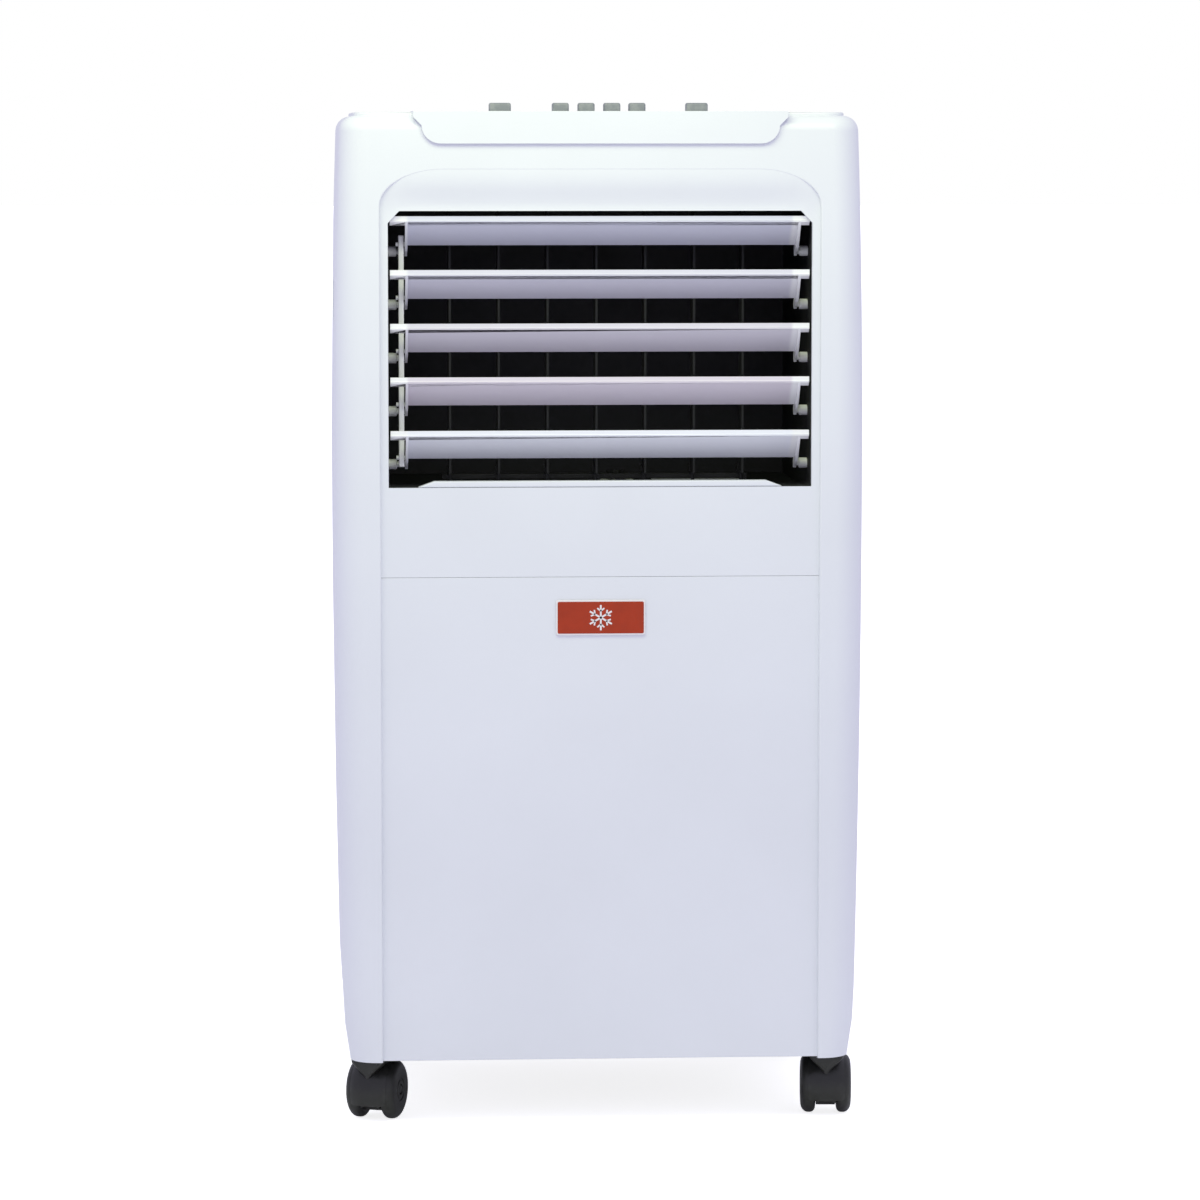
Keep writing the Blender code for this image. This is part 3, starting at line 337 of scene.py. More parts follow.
def moulded(name, colour, roughness=(0.30, 0.40), grain=0.00003, vary=0.02, wear=None):
    """Injection-moulded plastic: a faint mottle, a fine spark-eroded grain and soft flow marks."""
    made = Shader(name)
    tone = made.mottle(made.noise(7.0, 4.0), colour, 1 - vary, 1 + vary)
    if wear:
        edge = made.node("ShaderNodeNewGeometry").outputs["Pointiness"]
        worn = made.ramp(edge, [(0.50, (0, 0, 0)), (0.60, (1, 1, 1))])
        speck = made.ramp(made.noise(160.0, 5.0), [(0.45, (0, 0, 0)), (0.62, (1, 1, 1))])
        tone = made.blend(made.blend(1.0, worn, speck, "MULTIPLY"), tone, wear)
    fine = made.bump(made.noise(1500.0, 2.0), grain)
    flow = made.bump(made.noise(14.0, 2.0), grain * 6, 0.35, fine)
    rough = made.between(made.noise(38.0, 5.0), *roughness)
    made.set(Base_Color=tone, Roughness=rough, Normal=flow, IOR=1.52)
    return made.material


RAMP_SPAN = 0.25            # metres that a ramp from 0 to 1 stands for
# Painted light: from the first distance to the second the blade plastic turns lighter, standing in for light on
# the blade ends and their collars.
BLADE_PAINTED_LIGHT_X = (0.1275, 0.1295)


def louvre_plastic_painted_light(name, colour, end_painted_light_colour):
    """Blade plastic with painted light: a lighter colour towards the ends, standing in for the light that falls on
    the blades' ends.
    """
    made = Shader(name)
    split = made.node("ShaderNodeSeparateXYZ", {"Vector": made.place})
    across = made.maths("ABSOLUTE", split.outputs["X"])
    middle = made.mottle(made.noise(7.0, 4.0), colour, 0.98, 1.02)
    stretched = made.maths("MULTIPLY", across, 1 / RAMP_SPAN)
    # painted light: the ends lighter than the middle
    painted_light_at_ends = made.ramp(stretched, [(place / RAMP_SPAN, (shade, shade, shade))
                                     for place, shade in zip(BLADE_PAINTED_LIGHT_X, (0.0, 1.0))])
    made.set(Base_Color=made.blend(painted_light_at_ends, middle, end_painted_light_colour),
             Roughness=made.between(made.noise(38.0, 5.0), 0.34, 0.46),
             Normal=made.bump(made.noise(1500.0, 2.0), 0.00003), IOR=1.52)
    return made.material


def brushed(name, colour, roughness, stretch):
    """Drawn or turned metal with fine lines along one axis."""
    made = Shader(name)
    lines = made.noise(14.0, 6.0, made.scaled(stretch))
    made.set(Base_Color=made.mottle(lines, colour, 0.82, 1.12, (0.25, 0.75)),
             Roughness=made.between(made.noise(60.0, 4.0), *roughness),
             Normal=made.bump(lines, 0.00003, 0.6), Metallic=1.0)
    return made.material


def galvanised(name, colour):
    """Zinc-coated sheet with its spangle."""
    made = Shader(name)
    spangle = made.node("ShaderNodeTexVoronoi", {"Scale": 190.0, "Vector": made.place}).outputs["Color"]
    made.set(Base_Color=made.blend(0.16, colour, spangle, "OVERLAY"),
             Roughness=made.between(made.noise(120.0, 4.0), 0.30, 0.52),
             Normal=made.bump(made.noise(300.0, 3.0), 0.00003), Metallic=1.0)
    return made.material


def wet_paper(name):
    """Cellulose cooling pad: brown paper, darker and stiffer where the water has run."""
    made = Shader(name)
    fibres = made.noise(420.0, 6.0, made.scaled((1.0, 1.0, 0.35)), 0.65)
    stain = made.noise(16.0, 5.0, made.scaled((1.0, 1.0, 0.25)))
    paper = made.ramp(fibres, [(0.3, (0.30, 0.19, 0.085)), (0.7, (0.50, 0.35, 0.18))])
    wet = made.ramp(stain, [(0.42, (1.0, 1.0, 1.0)), (0.66, (0.62, 0.56, 0.48))])
    made.set(Base_Color=made.blend(1.0, paper, wet, "MULTIPLY"), Roughness=made.between(stain, 0.92, 0.70),
             Normal=made.bump(fibres, 0.00025, 0.8))
    return made.material


def clear_plastic(name, colour, roughness, transmission):
    """Natural or clear plastic that lets some light through."""
    made = Shader(name)
    made.set(Base_Color=made.mottle(made.noise(30.0, 4.0), colour, 0.95, 1.03),
             Roughness=made.between(made.noise(90.0, 3.0), roughness, roughness + 0.12),
             Normal=made.bump(made.noise(700.0, 2.0), 0.00002), Transmission_Weight=transmission, IOR=1.49)
    return made.material


def badge_gloss(name, colour):
    """Gloss lacquer over a printed colour."""
    made = Shader(name)
    made.set(Base_Color=made.mottle(made.noise(60.0, 3.0), colour, 0.9, 1.12),
             Roughness=made.between(made.noise(200.0, 3.0), 0.16, 0.24),
             Normal=made.bump(made.noise(40.0, 2.0), 0.00004, 0.4),
             Specular_IOR_Level=0.3, Coat_Weight=0.15, Coat_Roughness=0.06)
    return made.material


FLOOR_LIGHT = 0.06          # the floor's glow as the object sees it, and as the camera sees it
FLOOR_GLOW = 0.80


def floor_white(name):
    """Pale floor paint that looks almost white to the camera and lights the object only faintly."""
    made = Shader(name)
    cloud = made.noise(2.0, 3.0)
    seen = made.node("ShaderNodeLightPath").outputs["Is Camera Ray"]
    made.set(Base_Color=made.ramp(cloud, [(0.3, (0.95, 0.95, 0.955)), (0.7, (0.97, 0.97, 0.97))]),
             Roughness=made.between(made.noise(20.0, 3.0), 0.75, 0.9),
             Specular_IOR_Level=0.1, Emission_Color=(1.0, 1.0, 1.0),
             Emission_Strength=made.between(seen, FLOOR_LIGHT, FLOOR_GLOW))
    return made.material


WHITE = (0.800, 0.815, 0.880)
LOUVRE = (0.745, 0.725, 0.800)
# painted light: the lighter colour painted on the blades' ends
LOUVRE_END_PAINTED_LIGHT = (0.93, 0.93, 0.95)
# Painted light: lit and shaded copies of one blade white, the lowest lightest as if lit by light off the sill
# below it.
LOUVRE_PAINTED_LIGHT_TINTS = (            # the blades from the top down
    (0.740, 0.745, 0.855),
    (0.750, 0.738, 0.835),
    (0.750, 0.725, 0.800),
    (0.770, 0.715, 0.795),
    (0.880, 0.895, 0.965),
)
PLASTICS = {        # colour, roughness from and to, grain, variation
    "casing_white": (WHITE, (0.28, 0.38)),
    "duct_black": ((0.010, 0.010, 0.012), (0.55, 0.70), 0.00006),
    "scroll_grey": ((0.62, 0.63, 0.66), (0.40, 0.55), 0.00005),
    "fan_charcoal": ((0.030, 0.031, 0.034), (0.42, 0.6), 0.00005, 0.1),
    "inner_white": ((0.76, 0.78, 0.80), (0.42, 0.56), 0.00005),
    "pump_charcoal": ((0.028, 0.030, 0.033), (0.34, 0.5), 0.00005, 0.1),
    "tray_grey": ((0.075, 0.077, 0.082), (0.45, 0.6), 0.00006, 0.08),
    "tank_white": ((0.76, 0.79, 0.84), (0.30, 0.42), 0.00004, 0.03),
    "filter_charcoal": ((0.032, 0.033, 0.036), (0.5, 0.66), 0.00004),
}
MATERIALS = {
    **{slot: moulded(f"{slot}_plastic", *values) for slot, values in PLASTICS.items()},
    "louvre_white": louvre_plastic_painted_light("louvre_white_plastic_painted_light", LOUVRE, LOUVRE_END_PAINTED_LIGHT),
    "key_grey": moulded("key_grey_plastic", (0.200, 0.212, 0.245), (0.42, 0.55), 0.00006,
                        wear=(0.30, 0.31, 0.33)),
    "castor_black": moulded("castor_black_nylon", (0.0085, 0.0085, 0.0075), (0.30, 0.42), 0.00005, 0.15,
                            wear=(0.022, 0.022, 0.020)),
    "castor_wheel_black": moulded("castor_tyre_nylon", (0.0090, 0.0090, 0.0080), (0.36, 0.50), 0.00007, 0.2,
                                  wear=(0.026, 0.026, 0.023)),
    "badge_red": badge_gloss("badge_red_lacquer", (0.38, 0.033, 0.004)),
    "motor_steel": galvanised("motor_zinc_plate", (0.52, 0.53, 0.54)),
    "bracket_steel": galvanised("bracket_zinc_plate", (0.60, 0.61, 0.62)),
    "shaft_steel": brushed("shaft_ground_steel", (0.62, 0.62, 0.63), (0.14, 0.28), (90.0, 4.0, 90.0)),
    "pad_brown": wet_paper("pad_cellulose"),
    "hose_clear": clear_plastic("hose_clear_vinyl", (0.72, 0.78, 0.80), 0.12, 0.6),
}
FIXING = brushed("screw_zinc", (0.66, 0.66, 0.64), (0.24, 0.40), (40.0, 40.0, 40.0))
RIM_SILVER = moulded("badge_rim_plastic", (0.86, 0.82, 0.84), (0.22, 0.32))
PRINT_GREY = moulded("print_grey_ink", (0.58, 0.62, 0.70), (0.5, 0.6), 0.00001)
THROAT_BLACK = moulded("throat_black_plastic", (0.008, 0.008, 0.009), (0.6, 0.75), 0.00006)


# Cabinet

def half_width(z):
    """The cabinet narrows gently above and below its widest height, and tucks in at the foot."""
    if z > WIDEST_Z:
        loss, height = UPPER_NARROWING
        return HALF_WIDTH - loss * ((z - WIDEST_Z) / height) ** 2
    loss, height = LOWER_NARROWING
    foot = max(0.0, FOOT_Z + FOOT_TUCK - z) / FOOT_TUCK
    return HALF_WIDTH - loss * ((WIDEST_Z - z) / height) ** 2 - FOOT_NARROWING * foot ** 2


def arch(grow):
    """The recess outline from its right foot over the arch to its left foot, grown outwards."""
    across, down = ARCH_END
    ear = arc((ARCH_HALF - across, ARCH_Z - down), (across + grow, down + grow), 0, 90, ARCH_STEPS)
    side = [(ARCH_HALF + grow, CASING_LOW.z + rise) for rise in (0.0, LOWER_SIDE)]
    half = side + ear
    return half + [(-x, z) for x, z in reversed(half)]


def skin_levels():
    """Heights of the front casing's sections, each with how far its outline is set in."""
    low, high = CASING_LOW.z, CASING_HIGH.z - EDGE
    levels = [(low + (high - low) * (i / SKIN_ROWS), 0.0) for i in range(SKIN_ROWS + 1)]
    rounding = arc((EDGE, high), (EDGE, EDGE), 180, 90, 8)[1:]
    return levels + [(up, across) for across, up in rounding] + [(CASING_HIGH.z, EDGE + TOP_LEDGE)]


def front_casing():
    """The front half of the cabinet, with a soft lip round the recess for the front panels."""
    bm = bmesh.new()
    split = CASING_HIGH.y
    rows = []
    for z, inset in skin_levels():
        half = half_width(z) - inset
        radius = CORNER - inset
        corner = arc((half - radius, -FACE_Y - inset - radius), (radius, radius), 0, 90, 12)
        turn_in = [(half - SEAM_TURN, -split), (half - SEAM_EDGE, -split), (half, -split + SEAM_EDGE)]
        path = turn_in + [(half, -split + SIDE_Y[0]), (half, SIDE_Y[1])] + corner
        right = [bm.verts.new((x, -y, z)) for x, y in path]
        left = [bm.verts.new((-x, -y, z)) for x, y in path]
        rows.append((right, left, inset))
    for (right, left, inset), (right_up, left_up, inset_up) in zip(rows, rows[1:]):
        bridge(bm, right, right_up, False)
        bridge(bm, left_up, left, False)
        if inset_up > 0.0:
            bm.faces.new((right[-1], left[-1], left_up[-1], right_up[-1]))
    flat = [row for row in rows if row[2] == 0.0]
    rim = [bm.verts.new((x, FACE_Y, z)) for x, z in arch(ARCH_LIP)]
    column_right = [right[-1] for right, _, _ in flat]
    column_left = [left[-1] for _, left, _ in flat]
    bm.faces.new(column_right + column_left[::-1] + rim[::-1])
    ring = rim
    for turn in range(1, LIP_STEPS + 1):
        angle = math.radians(90 * turn / LIP_STEPS)
        grow = ARCH_LIP * (1 - math.sin(angle))
        y = FACE_Y + ARCH_LIP * (1 - math.cos(angle))
        inner = [bm.verts.new((x, y, z)) for x, z in arch(grow)]
        bridge(bm, ring, inner, False)
        ring = inner
    back = [bm.verts.new((x, FACE_Y + WALL + 0.001, z)) for x, z in arch(0.0)]
    bridge(bm, ring, back, False)
    right, left, _ = rows[0]
    for side in (right, left):
        sign = 1 if side is right else -1
        foot = [bm.verts.new((v.co.x - sign * WALL * 0.9, v.co.y + WALL * 0.5, v.co.z + FOOT_LIP))
                for v in side]
        bridge(bm, side, foot, False)
    made = finish_mesh("front_casing_skin", bm, 40)
    modify(made, "Normals", "WEIGHTED_NORMAL", weight=90, keep_sharp=True)
    return fit(made, "housing", "casing_white", "front_casing")


MOUTH_STEPS = (20, 16)          # points across and up
MOUTH_CORNER = (0.006, 0.008)   # the upper corners, cut off
MOUTH_KNEE = (0.0012, 0.0035)


def mouth():
    """The outlet's outline in four runs that match panel_edge: bottom, right, top and left."""
    low, high = OUTLET_Z
    half = OUTLET_HALF
    columns, rows = MOUTH_STEPS
    across, down = MOUTH_CORNER
    right = [(half, low + (high - down - low) * i / rows) for i in range(rows + 1)]
    top = [(half, high - down), (half - MOUTH_KNEE[0], high - MOUTH_KNEE[1]), (half - across, high)]
    top += [(half - across - (2 * half - 2 * across) * i / columns, high) for i in range(1, columns)]
    top += [(-x, z) for x, z in reversed(top[:3])]
    bottom = [(-half + 2 * half * i / columns, low) for i in range(columns + 1)]
    left = [(-x, z) for x, z in reversed(right)]
    return [bottom, right, top, left]


def along(points, count):
    """Points spread evenly along a line of points."""
    lengths = [0.0]
    for a, b in zip(points, points[1:]):
        lengths.append(lengths[-1] + math.dist(a, b))
    placed = []
    for i in range(count):
        want = lengths[-1] * i / (count - 1)
        k = max(j for j in range(len(lengths) - 1) if lengths[j] <= want + 1e-12)
        share = (want - lengths[k]) / (lengths[k + 1] - lengths[k])
        placed.append(tuple(p + (q - p) * share for p, q in zip(points[k], points[k + 1])))
    return placed


PANEL_TUCK = 0.0012


def panel_edge():
    """The recess outline above the seam, in four runs, a little behind the casing's lip."""
    low = FRAME_LOW.z - 0.0002
    outline = arch(PANEL_TUCK)
    ears = [p for p in outline if p[1] > ARCH_Z - ARCH_END[1] - 1e-6]
    right = [(ARCH_HALF + PANEL_TUCK, low), ears[0]]
    bottom = [(-ARCH_HALF - PANEL_TUCK, low), (ARCH_HALF + PANEL_TUCK, low)]
    left = [(-x, z) for x, z in reversed(right)]
    return [bottom, right, ears, left]


BROW_DEPTH = 0.0041
COVE_DEPTH = 0.0010         # a shallow cove just above the outlet
COVE_RISE = 0.004
COVE_HALF = 0.012


def brow(x, z):
    """How far the panel stands forward of its plane: it rises to meet the casing under the arch."""
    above = z - OUTLET_Z[1]
    rise = min(1.0, max(0.0, above / (ARCH_Z - OUTLET_Z[1] - 0.002)))
    ease = rise * rise * (3 - 2 * rise)
    cove = COVE_DEPTH * max(0.0, 1 - abs(above - COVE_RISE) / COVE_HALF)
    return BROW_DEPTH * ease - (cove if abs(x) < OUTLET_HALF - 0.01 else 0.0)


RUN_POINTS = (21, 17, 25, 17)       # points on the bottom, right, top and left runs
LIP_SHRINK = 0.9985
BORDER_SHARES = (0.0, 0.012, 0.03, 0.06, 0.12, 0.2, 0.3, 0.4, 0.5, 0.6, 0.7, 0.8, 0.9, 1.0)


def louvre_frame():
    """The upper front panel: a flat border round the outlet, swept forward under the arch."""
    inner, outer = ([point for run, count in zip(runs, RUN_POINTS) for point in along(run, count)[:-1]]
                    for runs in (mouth(), panel_edge()))
    sections = []
    for share in BORDER_SHARES:
        section = []
        for (x0, z0), (x1, z1) in zip(inner, outer):
            x, z = x0 + (x1 - x0) * share, z0 + (z1 - z0) * share
            section.append((x, PANEL_Y - brow(x, z), z))
        sections.append(section)
    lip = [[(x * LIP_SHRINK, PANEL_Y + depth, z) for x, z in inner] for depth in (0.003, 0.0012)]
    fall = [(x, PANEL_Y + 0.0025, z) for x, _, z in sections[-1]]
    made = loft("louvre_frame_panel", [*lip, *sections, fall], 45)
    return fit(made, "housing", "casing_white")


def outlet_throat():
    """The dark collar behind the outlet's mouth."""
    (low, high), half = OUTLET_Z, OUTLET_HALF
    wall, back = 0.0026, FRAME_HIGH.y
    steps = ((0.0, PANEL_Y + 0.0020), (0.0, back), (wall, back), (wall, PANEL_Y + 0.0024))
    levels = [(rounded((-half, low), (half, high), 0.003 + grow, 4, -grow), y) for grow, y in steps]
    made = stack("outlet_throat", "Y", levels, caps=())
    return fit(made, "housing", "duct_black", "louvre_frame", material=THROAT_BLACK)


SILL_HALVES = (0.122, 0.111)        # half lengths at the foot and along the top


def outlet_sill():
    """The raised strip along the foot of the outlet."""
    low, high = OUTLET_Z[0] + 0.0002, OUTLET_Z[0] + 0.0042
    foot, crest = SILL_HALVES
    outline = [(-foot, low), (foot, low), (crest, high), (-crest, high)]
    made = soften(plate("outlet_sill", outline, "Y", PANEL_Y + 0.0006, PANEL_Y + 0.0085), 0.0008)
    return fit(made, "housing", "casing_white")


def lower_panel():
    """The plain lower front panel, with a softened top edge that makes the seam."""
    half = PANEL_HIGH.x + 0.0008
    low, high = PANEL_LOW.z, PANEL_HIGH.z + 0.0002
    levels = [(rounded((-half, low + inset), (half, high - inset), 0.0008, 5), PANEL_Y + depth)
              for inset, depth in ((0.0004, 0.0), (0.0001, 0.0001), (0.0, 0.0004), (0.0, 0.0030))]
    made = stack("lower_front_panel_skin", "Y", levels, 60, caps=(0,))
    modify(made, "Normals", "WEIGHTED_NORMAL", weight=90)
    return fit(made, "housing", "casing_white", "lower_front_panel")


CRYSTAL_R = 0.0085
CRYSTAL_DEPTH = 0.0002
CRYSTAL_BARS = ((0.07, 1.0, 0), (0.06, 0.36, 50), (0.06, 0.36, -50))     # half width, length, lean
TWIG_START = 0.52


def snow_crystal(centre, y):
    """A generic snow crystal: six arms, each a bar with two twigs."""
    arms = []
    for i in range(6):
        turn = Matrix.Rotation(math.radians(60 * i), 4, "Y")
        for half, reach, lean in CRYSTAL_BARS:
            wide, high = half * CRYSTAL_R, reach * CRYSTAL_R
            bar = box_mesh("bar", (-wide, -CRYSTAL_DEPTH, 0.0), (wide, CRYSTAL_DEPTH, high))
            start = Vector((0, 0, TWIG_START * CRYSTAL_R if lean else 0))
            step = Matrix.Rotation(math.radians(lean), 4, "Y")
            bar.data.transform(Matrix.Translation(centre) @ turn @ Matrix.Translation(start) @ step)
            bar.data.transform(Matrix.Translation((0, y, 0)))
            arms.append(bar)
    return arms


BADGE_RIM = 0.0011


def badge():
    """A plain red badge with a silver rim and a generic snow crystal."""
    low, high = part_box("badge")
    rim = rounded(low.xz, high.xz, 0.0016)
    plate_piece = soften(plate("badge_rim", rim, "Y", low.y + 0.0004, high.y), 0.0004)
    fit(plate_piece, "housing", "badge_red", material=RIM_SILVER)
    face = rounded(low.xz, high.xz, 0.0010, inset=BADGE_RIM)
    front = soften(plate("badge_face", face, "Y", low.y + 0.0001, high.y - 0.0002), 0.0003)
    fit(front, "housing", "badge_red", "badge")
    middle = (low + high) / 2
    arms = snow_crystal((middle.x, 0, middle.z), low.y + CRYSTAL_DEPTH)
    fit(gather("badge_snow_crystal", arms), "housing", "badge_red", material=RIM_SILVER)


# Louvres

JOINTS = {joint["name"]: joint for joint in frame["joints"]}
LOUVRE_AXIS = JOINTS["louvre_1_tilt"]["pos_m"][1:]
LOUVRE_PITCH = 0.0357
COLLAR_R = 0.0035
COLLAR_END_R = 0.0029
COLLAR_BORE_R = 0.0021
COLLAR_EDGE = 0.0006


def collar_profile(end, shank, sign):
    """A bored collar's outline from the blade's end to the shank behind it, as (radius, along) pairs."""
    outer = [(COLLAR_END_R, end), (COLLAR_R, end - sign * COLLAR_EDGE),
             (COLLAR_R, shank + sign * COLLAR_EDGE), (COLLAR_END_R, shank)]
    return [(COLLAR_BORE_R, end), *outer, (COLLAR_BORE_R, shank), (COLLAR_BORE_R, end)]


def louvres():
    """The blades and their link keep their own shapes, with rounded edges and collars on their pins."""
    for i, blade_painted_light_tint in enumerate(LOUVRE_PAINTED_LIGHT_TINTS, 1):
        blade = soften(frame["nodes"][f"louvre_blade_{i}"], 0.0006, 2, 35)
        # painted light: each blade takes its own lit or shaded tint
        blade.data.materials[0] = louvre_plastic_painted_light(f"louvre_white_plastic_painted_light_{i}", blade_painted_light_tint, LOUVRE_END_PAINTED_LIGHT)
        low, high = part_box(f"louvre_blade_{i}")
        centre = (0, LOUVRE_AXIS[0], LOUVRE_AXIS[1] - (i - 1) * LOUVRE_PITCH)
        for side, sign, end, reach in (("left", -1, low.x, 0.0084), ("right", 1, high.x, 0.0076)):
            profile = collar_profile(end, end - sign * reach, sign)
            # the collars take the blade plastic with painted light on the ends
            collar = lathe(f"louvre_collar_{side}_{i}", profile, centre, (1, 0, 0), 24)
            fit(collar, f"louvre_{i}", "louvre_white")
    soften(frame["nodes"]["louvre_link"], 0.0006, 2, 30, False)


# Top

KEY_NAMES = ("key_swing", "key_off", "key_low", "key_medium", "key_high", "key_cool")
INK_DEPTH = (0.0001, 0.00012)       # below and above the surface
STROKE_HALF = 0.0005
RING_R = (0.0017, 0.0026)
BAR_PITCH = 0.0022
DROP_R = 0.0019
ARROW = (0.0018, 0.0042)            # from the icon's middle to the arrow head's foot and point


def icon(name, parts):
    """A pictogram printed just above the surface it lies on."""
    made = gather(name, parts)
    return fit(made, "housing", "key_grey", material=PRINT_GREY)


def key_icons():
    """Generic pictograms behind the keys: an arrow, a ring, one to three bars and a drop."""
    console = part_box("control_panel")[1]
    y = (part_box("key_off")[1].y + console.y) / 2
    ink = (console.z - INK_DEPTH[0], console.z + INK_DEPTH[1])

    def bar(x, near, far, width=STROKE_HALF):
        return box_mesh("bar", (x - width, near, ink[0]), (x + width, far, ink[1]))

    centre = {name: (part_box(name)[0].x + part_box(name)[1].x) / 2 for name in KEY_NAMES}
    x = centre["key_off"]
    hole, ring = (arc((x, y), (radius, radius), 0, 360, 20)[:-1] for radius in RING_R)
    icon("icon_off", [band("ring", ring, hole, ink)])
    for count, name in enumerate(("key_low", "key_medium", "key_high"), 1):
        spread = [centre[name] + (k - (count - 1) / 2) * BAR_PITCH for k in range(count)]
        bars = [bar(x, y - 0.0024, y - 0.0004 + 0.001 * k) for k, x in enumerate(spread)]
        icon(f"icon_{name[4:]}", bars)
    x = centre["key_cool"]
    drop = arc((x, y - 0.0008), (DROP_R, DROP_R), -210, 30, 14) + [(x, y + 0.0030)]
    icon("icon_cool", [plate("drop", drop, "Z", *ink)])
    x = centre["key_swing"]
    arrow = [bar(x, y - 0.0004, y + 0.0004, 0.0020)]
    for foot, point in (ARROW, (-ARROW[0], -ARROW[1])):
        head = [(x + point, y), (x + foot, y + 0.0018), (x + foot, y - 0.0018)]
        arrow.append(plate("head", head, "Z", *ink))
    icon("icon_swing", arrow)


def band(name, outline, hole, depth):
    """A level ring between two outlines with the same number of points."""
    foot, crest = depth
    levels = ((hole, crest), (hole, foot), (outline, foot), (outline, crest))
    return stack(name, "Z", levels, caps=(), loop=True)


def key_cap(name):
    """A push key with a dished top and rounded edges."""
    low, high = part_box(name)
    steps = ((0.0, low.z), (0.0, high.z - 0.0014), (0.0002, high.z - 0.0007), (0.0007, high.z - 0.0001),
             (0.0013, high.z), (0.0022, high.z - 0.0002), (0.0036, high.z - 0.0005))
    levels = [(rounded(low.xy, high.xy, max(0.0006, 0.0015 - inset * 0.3), 4, inset), z)
              for inset, z in steps]
    return fit(stack(name + "_cap", "Z", levels, 50), name, "key_grey", name)


COVER_LAP = 0.0002          # how far the cover runs into the console, so that no gap shows
COVER_CORNER = 0.014


def cover_outline(inset):
    """The top cover's outline: round corners, and a notch at the front for the key console."""
    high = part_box("top_cover")[1]
    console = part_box("control_panel")[1]
    side = console.x - COVER_LAP + inset
    back = console.y - COVER_LAP + inset
    half, depth = high.x - inset, high.y - inset
    bend = COVER_CORNER - inset
    right = [(side, back), (side, -depth)]
    right += arc((half - bend, -depth + bend), (bend, bend), -90, 0, 6)
    right += arc((half - bend, depth - bend), (bend, bend), 0, 90, 6)
    return right + [(-x, y) for x, y in reversed(right)]


def top_cover():
    """The flat top cover, rounded only along its upper edge."""
    low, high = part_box("top_cover")
    levels = ((0.0, low.z - 0.0020), (0.0, high.z - 0.0012), (0.0003, high.z - 0.0004), (0.0011, high.z))
    made = stack("top_cover_skin", "Z", [(cover_outline(inset), z) for inset, z in levels], 60)
    modify(made, "Normals", "WEIGHTED_NORMAL", weight=90, keep_sharp=True)
    return fit(made, "housing", "casing_white", "top_cover")


def top():
    """The cover, the key console and the keys."""
    top_cover()
    soften(frame["nodes"]["control_panel"], 0.0003, 2, 50)
    for name in KEY_NAMES:
        key_cap(name)
    key_icons()


# Castors

HOOD_R = 0.0224
HOOD_TURN = (46, 204)       # degrees from the rear, over the top, to the lower front
CASTOR_TOP = CASING_LOW.z
HOOD_STEPS = (24, 16)       # along the turn and across
HOOD_HALF = 0.0125
HOOD_FALL = 0.0022          # how far the hood curves down at its sides
HOOD_WALL = 0.0012
RIB_BORE = 0.0150
RIB_HALF = 0.0064
GUARD_X = (0.0006, 0.0066)
GUARD_Z = (0.0115, 0.0086, 0.0160)      # lower edge in the middle, at the wheel, and upper edge
GUARD_Y = (-0.0150, -0.0105)
SHOULDER = (                # depth below the casing, half width and nose of each section
    (0.0142, 0.0012, -0.0203),
    (0.0110, 0.0042, -0.0212),
    (0.0070, 0.0082, -0.0219),
    (0.0036, 0.0112, -0.0221),
    (0.0014, 0.0119, -0.0216),
    (0.0008, 0.0114, -0.0206),
)
CAP_R = 0.0105
STEM_R = 0.0040
WHEEL_X = (0.0071, 0.0171)  # a wheel's inner and outer face, from the castor's middle


def castor_hood():
    """The hood over both wheels: a shell that curves down at its sides."""
    rows = []
    turns, columns = HOOD_STEPS
    for i in range(turns + 1):
        angle = math.radians(HOOD_TURN[0] + (HOOD_TURN[1] - HOOD_TURN[0]) * i / turns)
        row = []
        for k in range(columns + 1):
            across = -1 + 2 * k / columns
            outer = HOOD_R - HOOD_FALL * abs(across) ** 4
            row.append((HOOD_HALF * across, outer * math.cos(angle), WHEEL_R + outer * math.sin(angle)))
        rows.append(row)
    hood = loft("hood", rows, 60, closed=False)
    modify(hood, "Wall", "SOLIDIFY", thickness=HOOD_WALL, offset=-1)
    return bake(hood)


def shoulder():
    """The block that joins the hood to the swivel, cut in a V towards the front."""
    levels = [(rounded((-half, nose), (half, 0.004), min(0.0030, half * 0.9), 4), CASTOR_TOP - down)
              for down, half, nose in SHOULDER]
    return stack("shoulder", "Z", levels, 50)


def fork_guards():
    """Two small plates that close the fork beside the wheels, leaving a shallow notch."""
    inner, outer = GUARD_X
    middle, edge, top = GUARD_Z
    guards = []
    for sign in (-1, 1):
        outline = [(sign * inner, middle), (sign * outer, edge), (sign * outer, top), (sign * inner, top)]
        guards.append(plate("guard", outline, "Y", *GUARD_Y))
    return guards


def castor_swivel(name):
    """The round cap under the casing and the stem that goes up into it."""
    over, under = CASTOR_TOP + 0.0002, CASTOR_TOP - 0.0020
    cap_edge = [(CAP_R - 0.0007, over), (CAP_R, CASTOR_TOP - 0.0004), (CAP_R, under)]
    cap = lathe("cap", [(0, over), *cap_edge, (0, under)], (0, -TRAIL, 0), (0, 0, 1), 32)
    top_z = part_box(f"castor_fork_{name}")[1].z
    stem_profile = [(0, top_z), (STEM_R - 0.0004, top_z), (STEM_R, top_z - 0.0006), (STEM_R, CASTOR_TOP),
                    (0, CASTOR_TOP)]
    return cap, lathe("stem", stem_profile, (0, -TRAIL, 0), (0, 0, 1), 24)


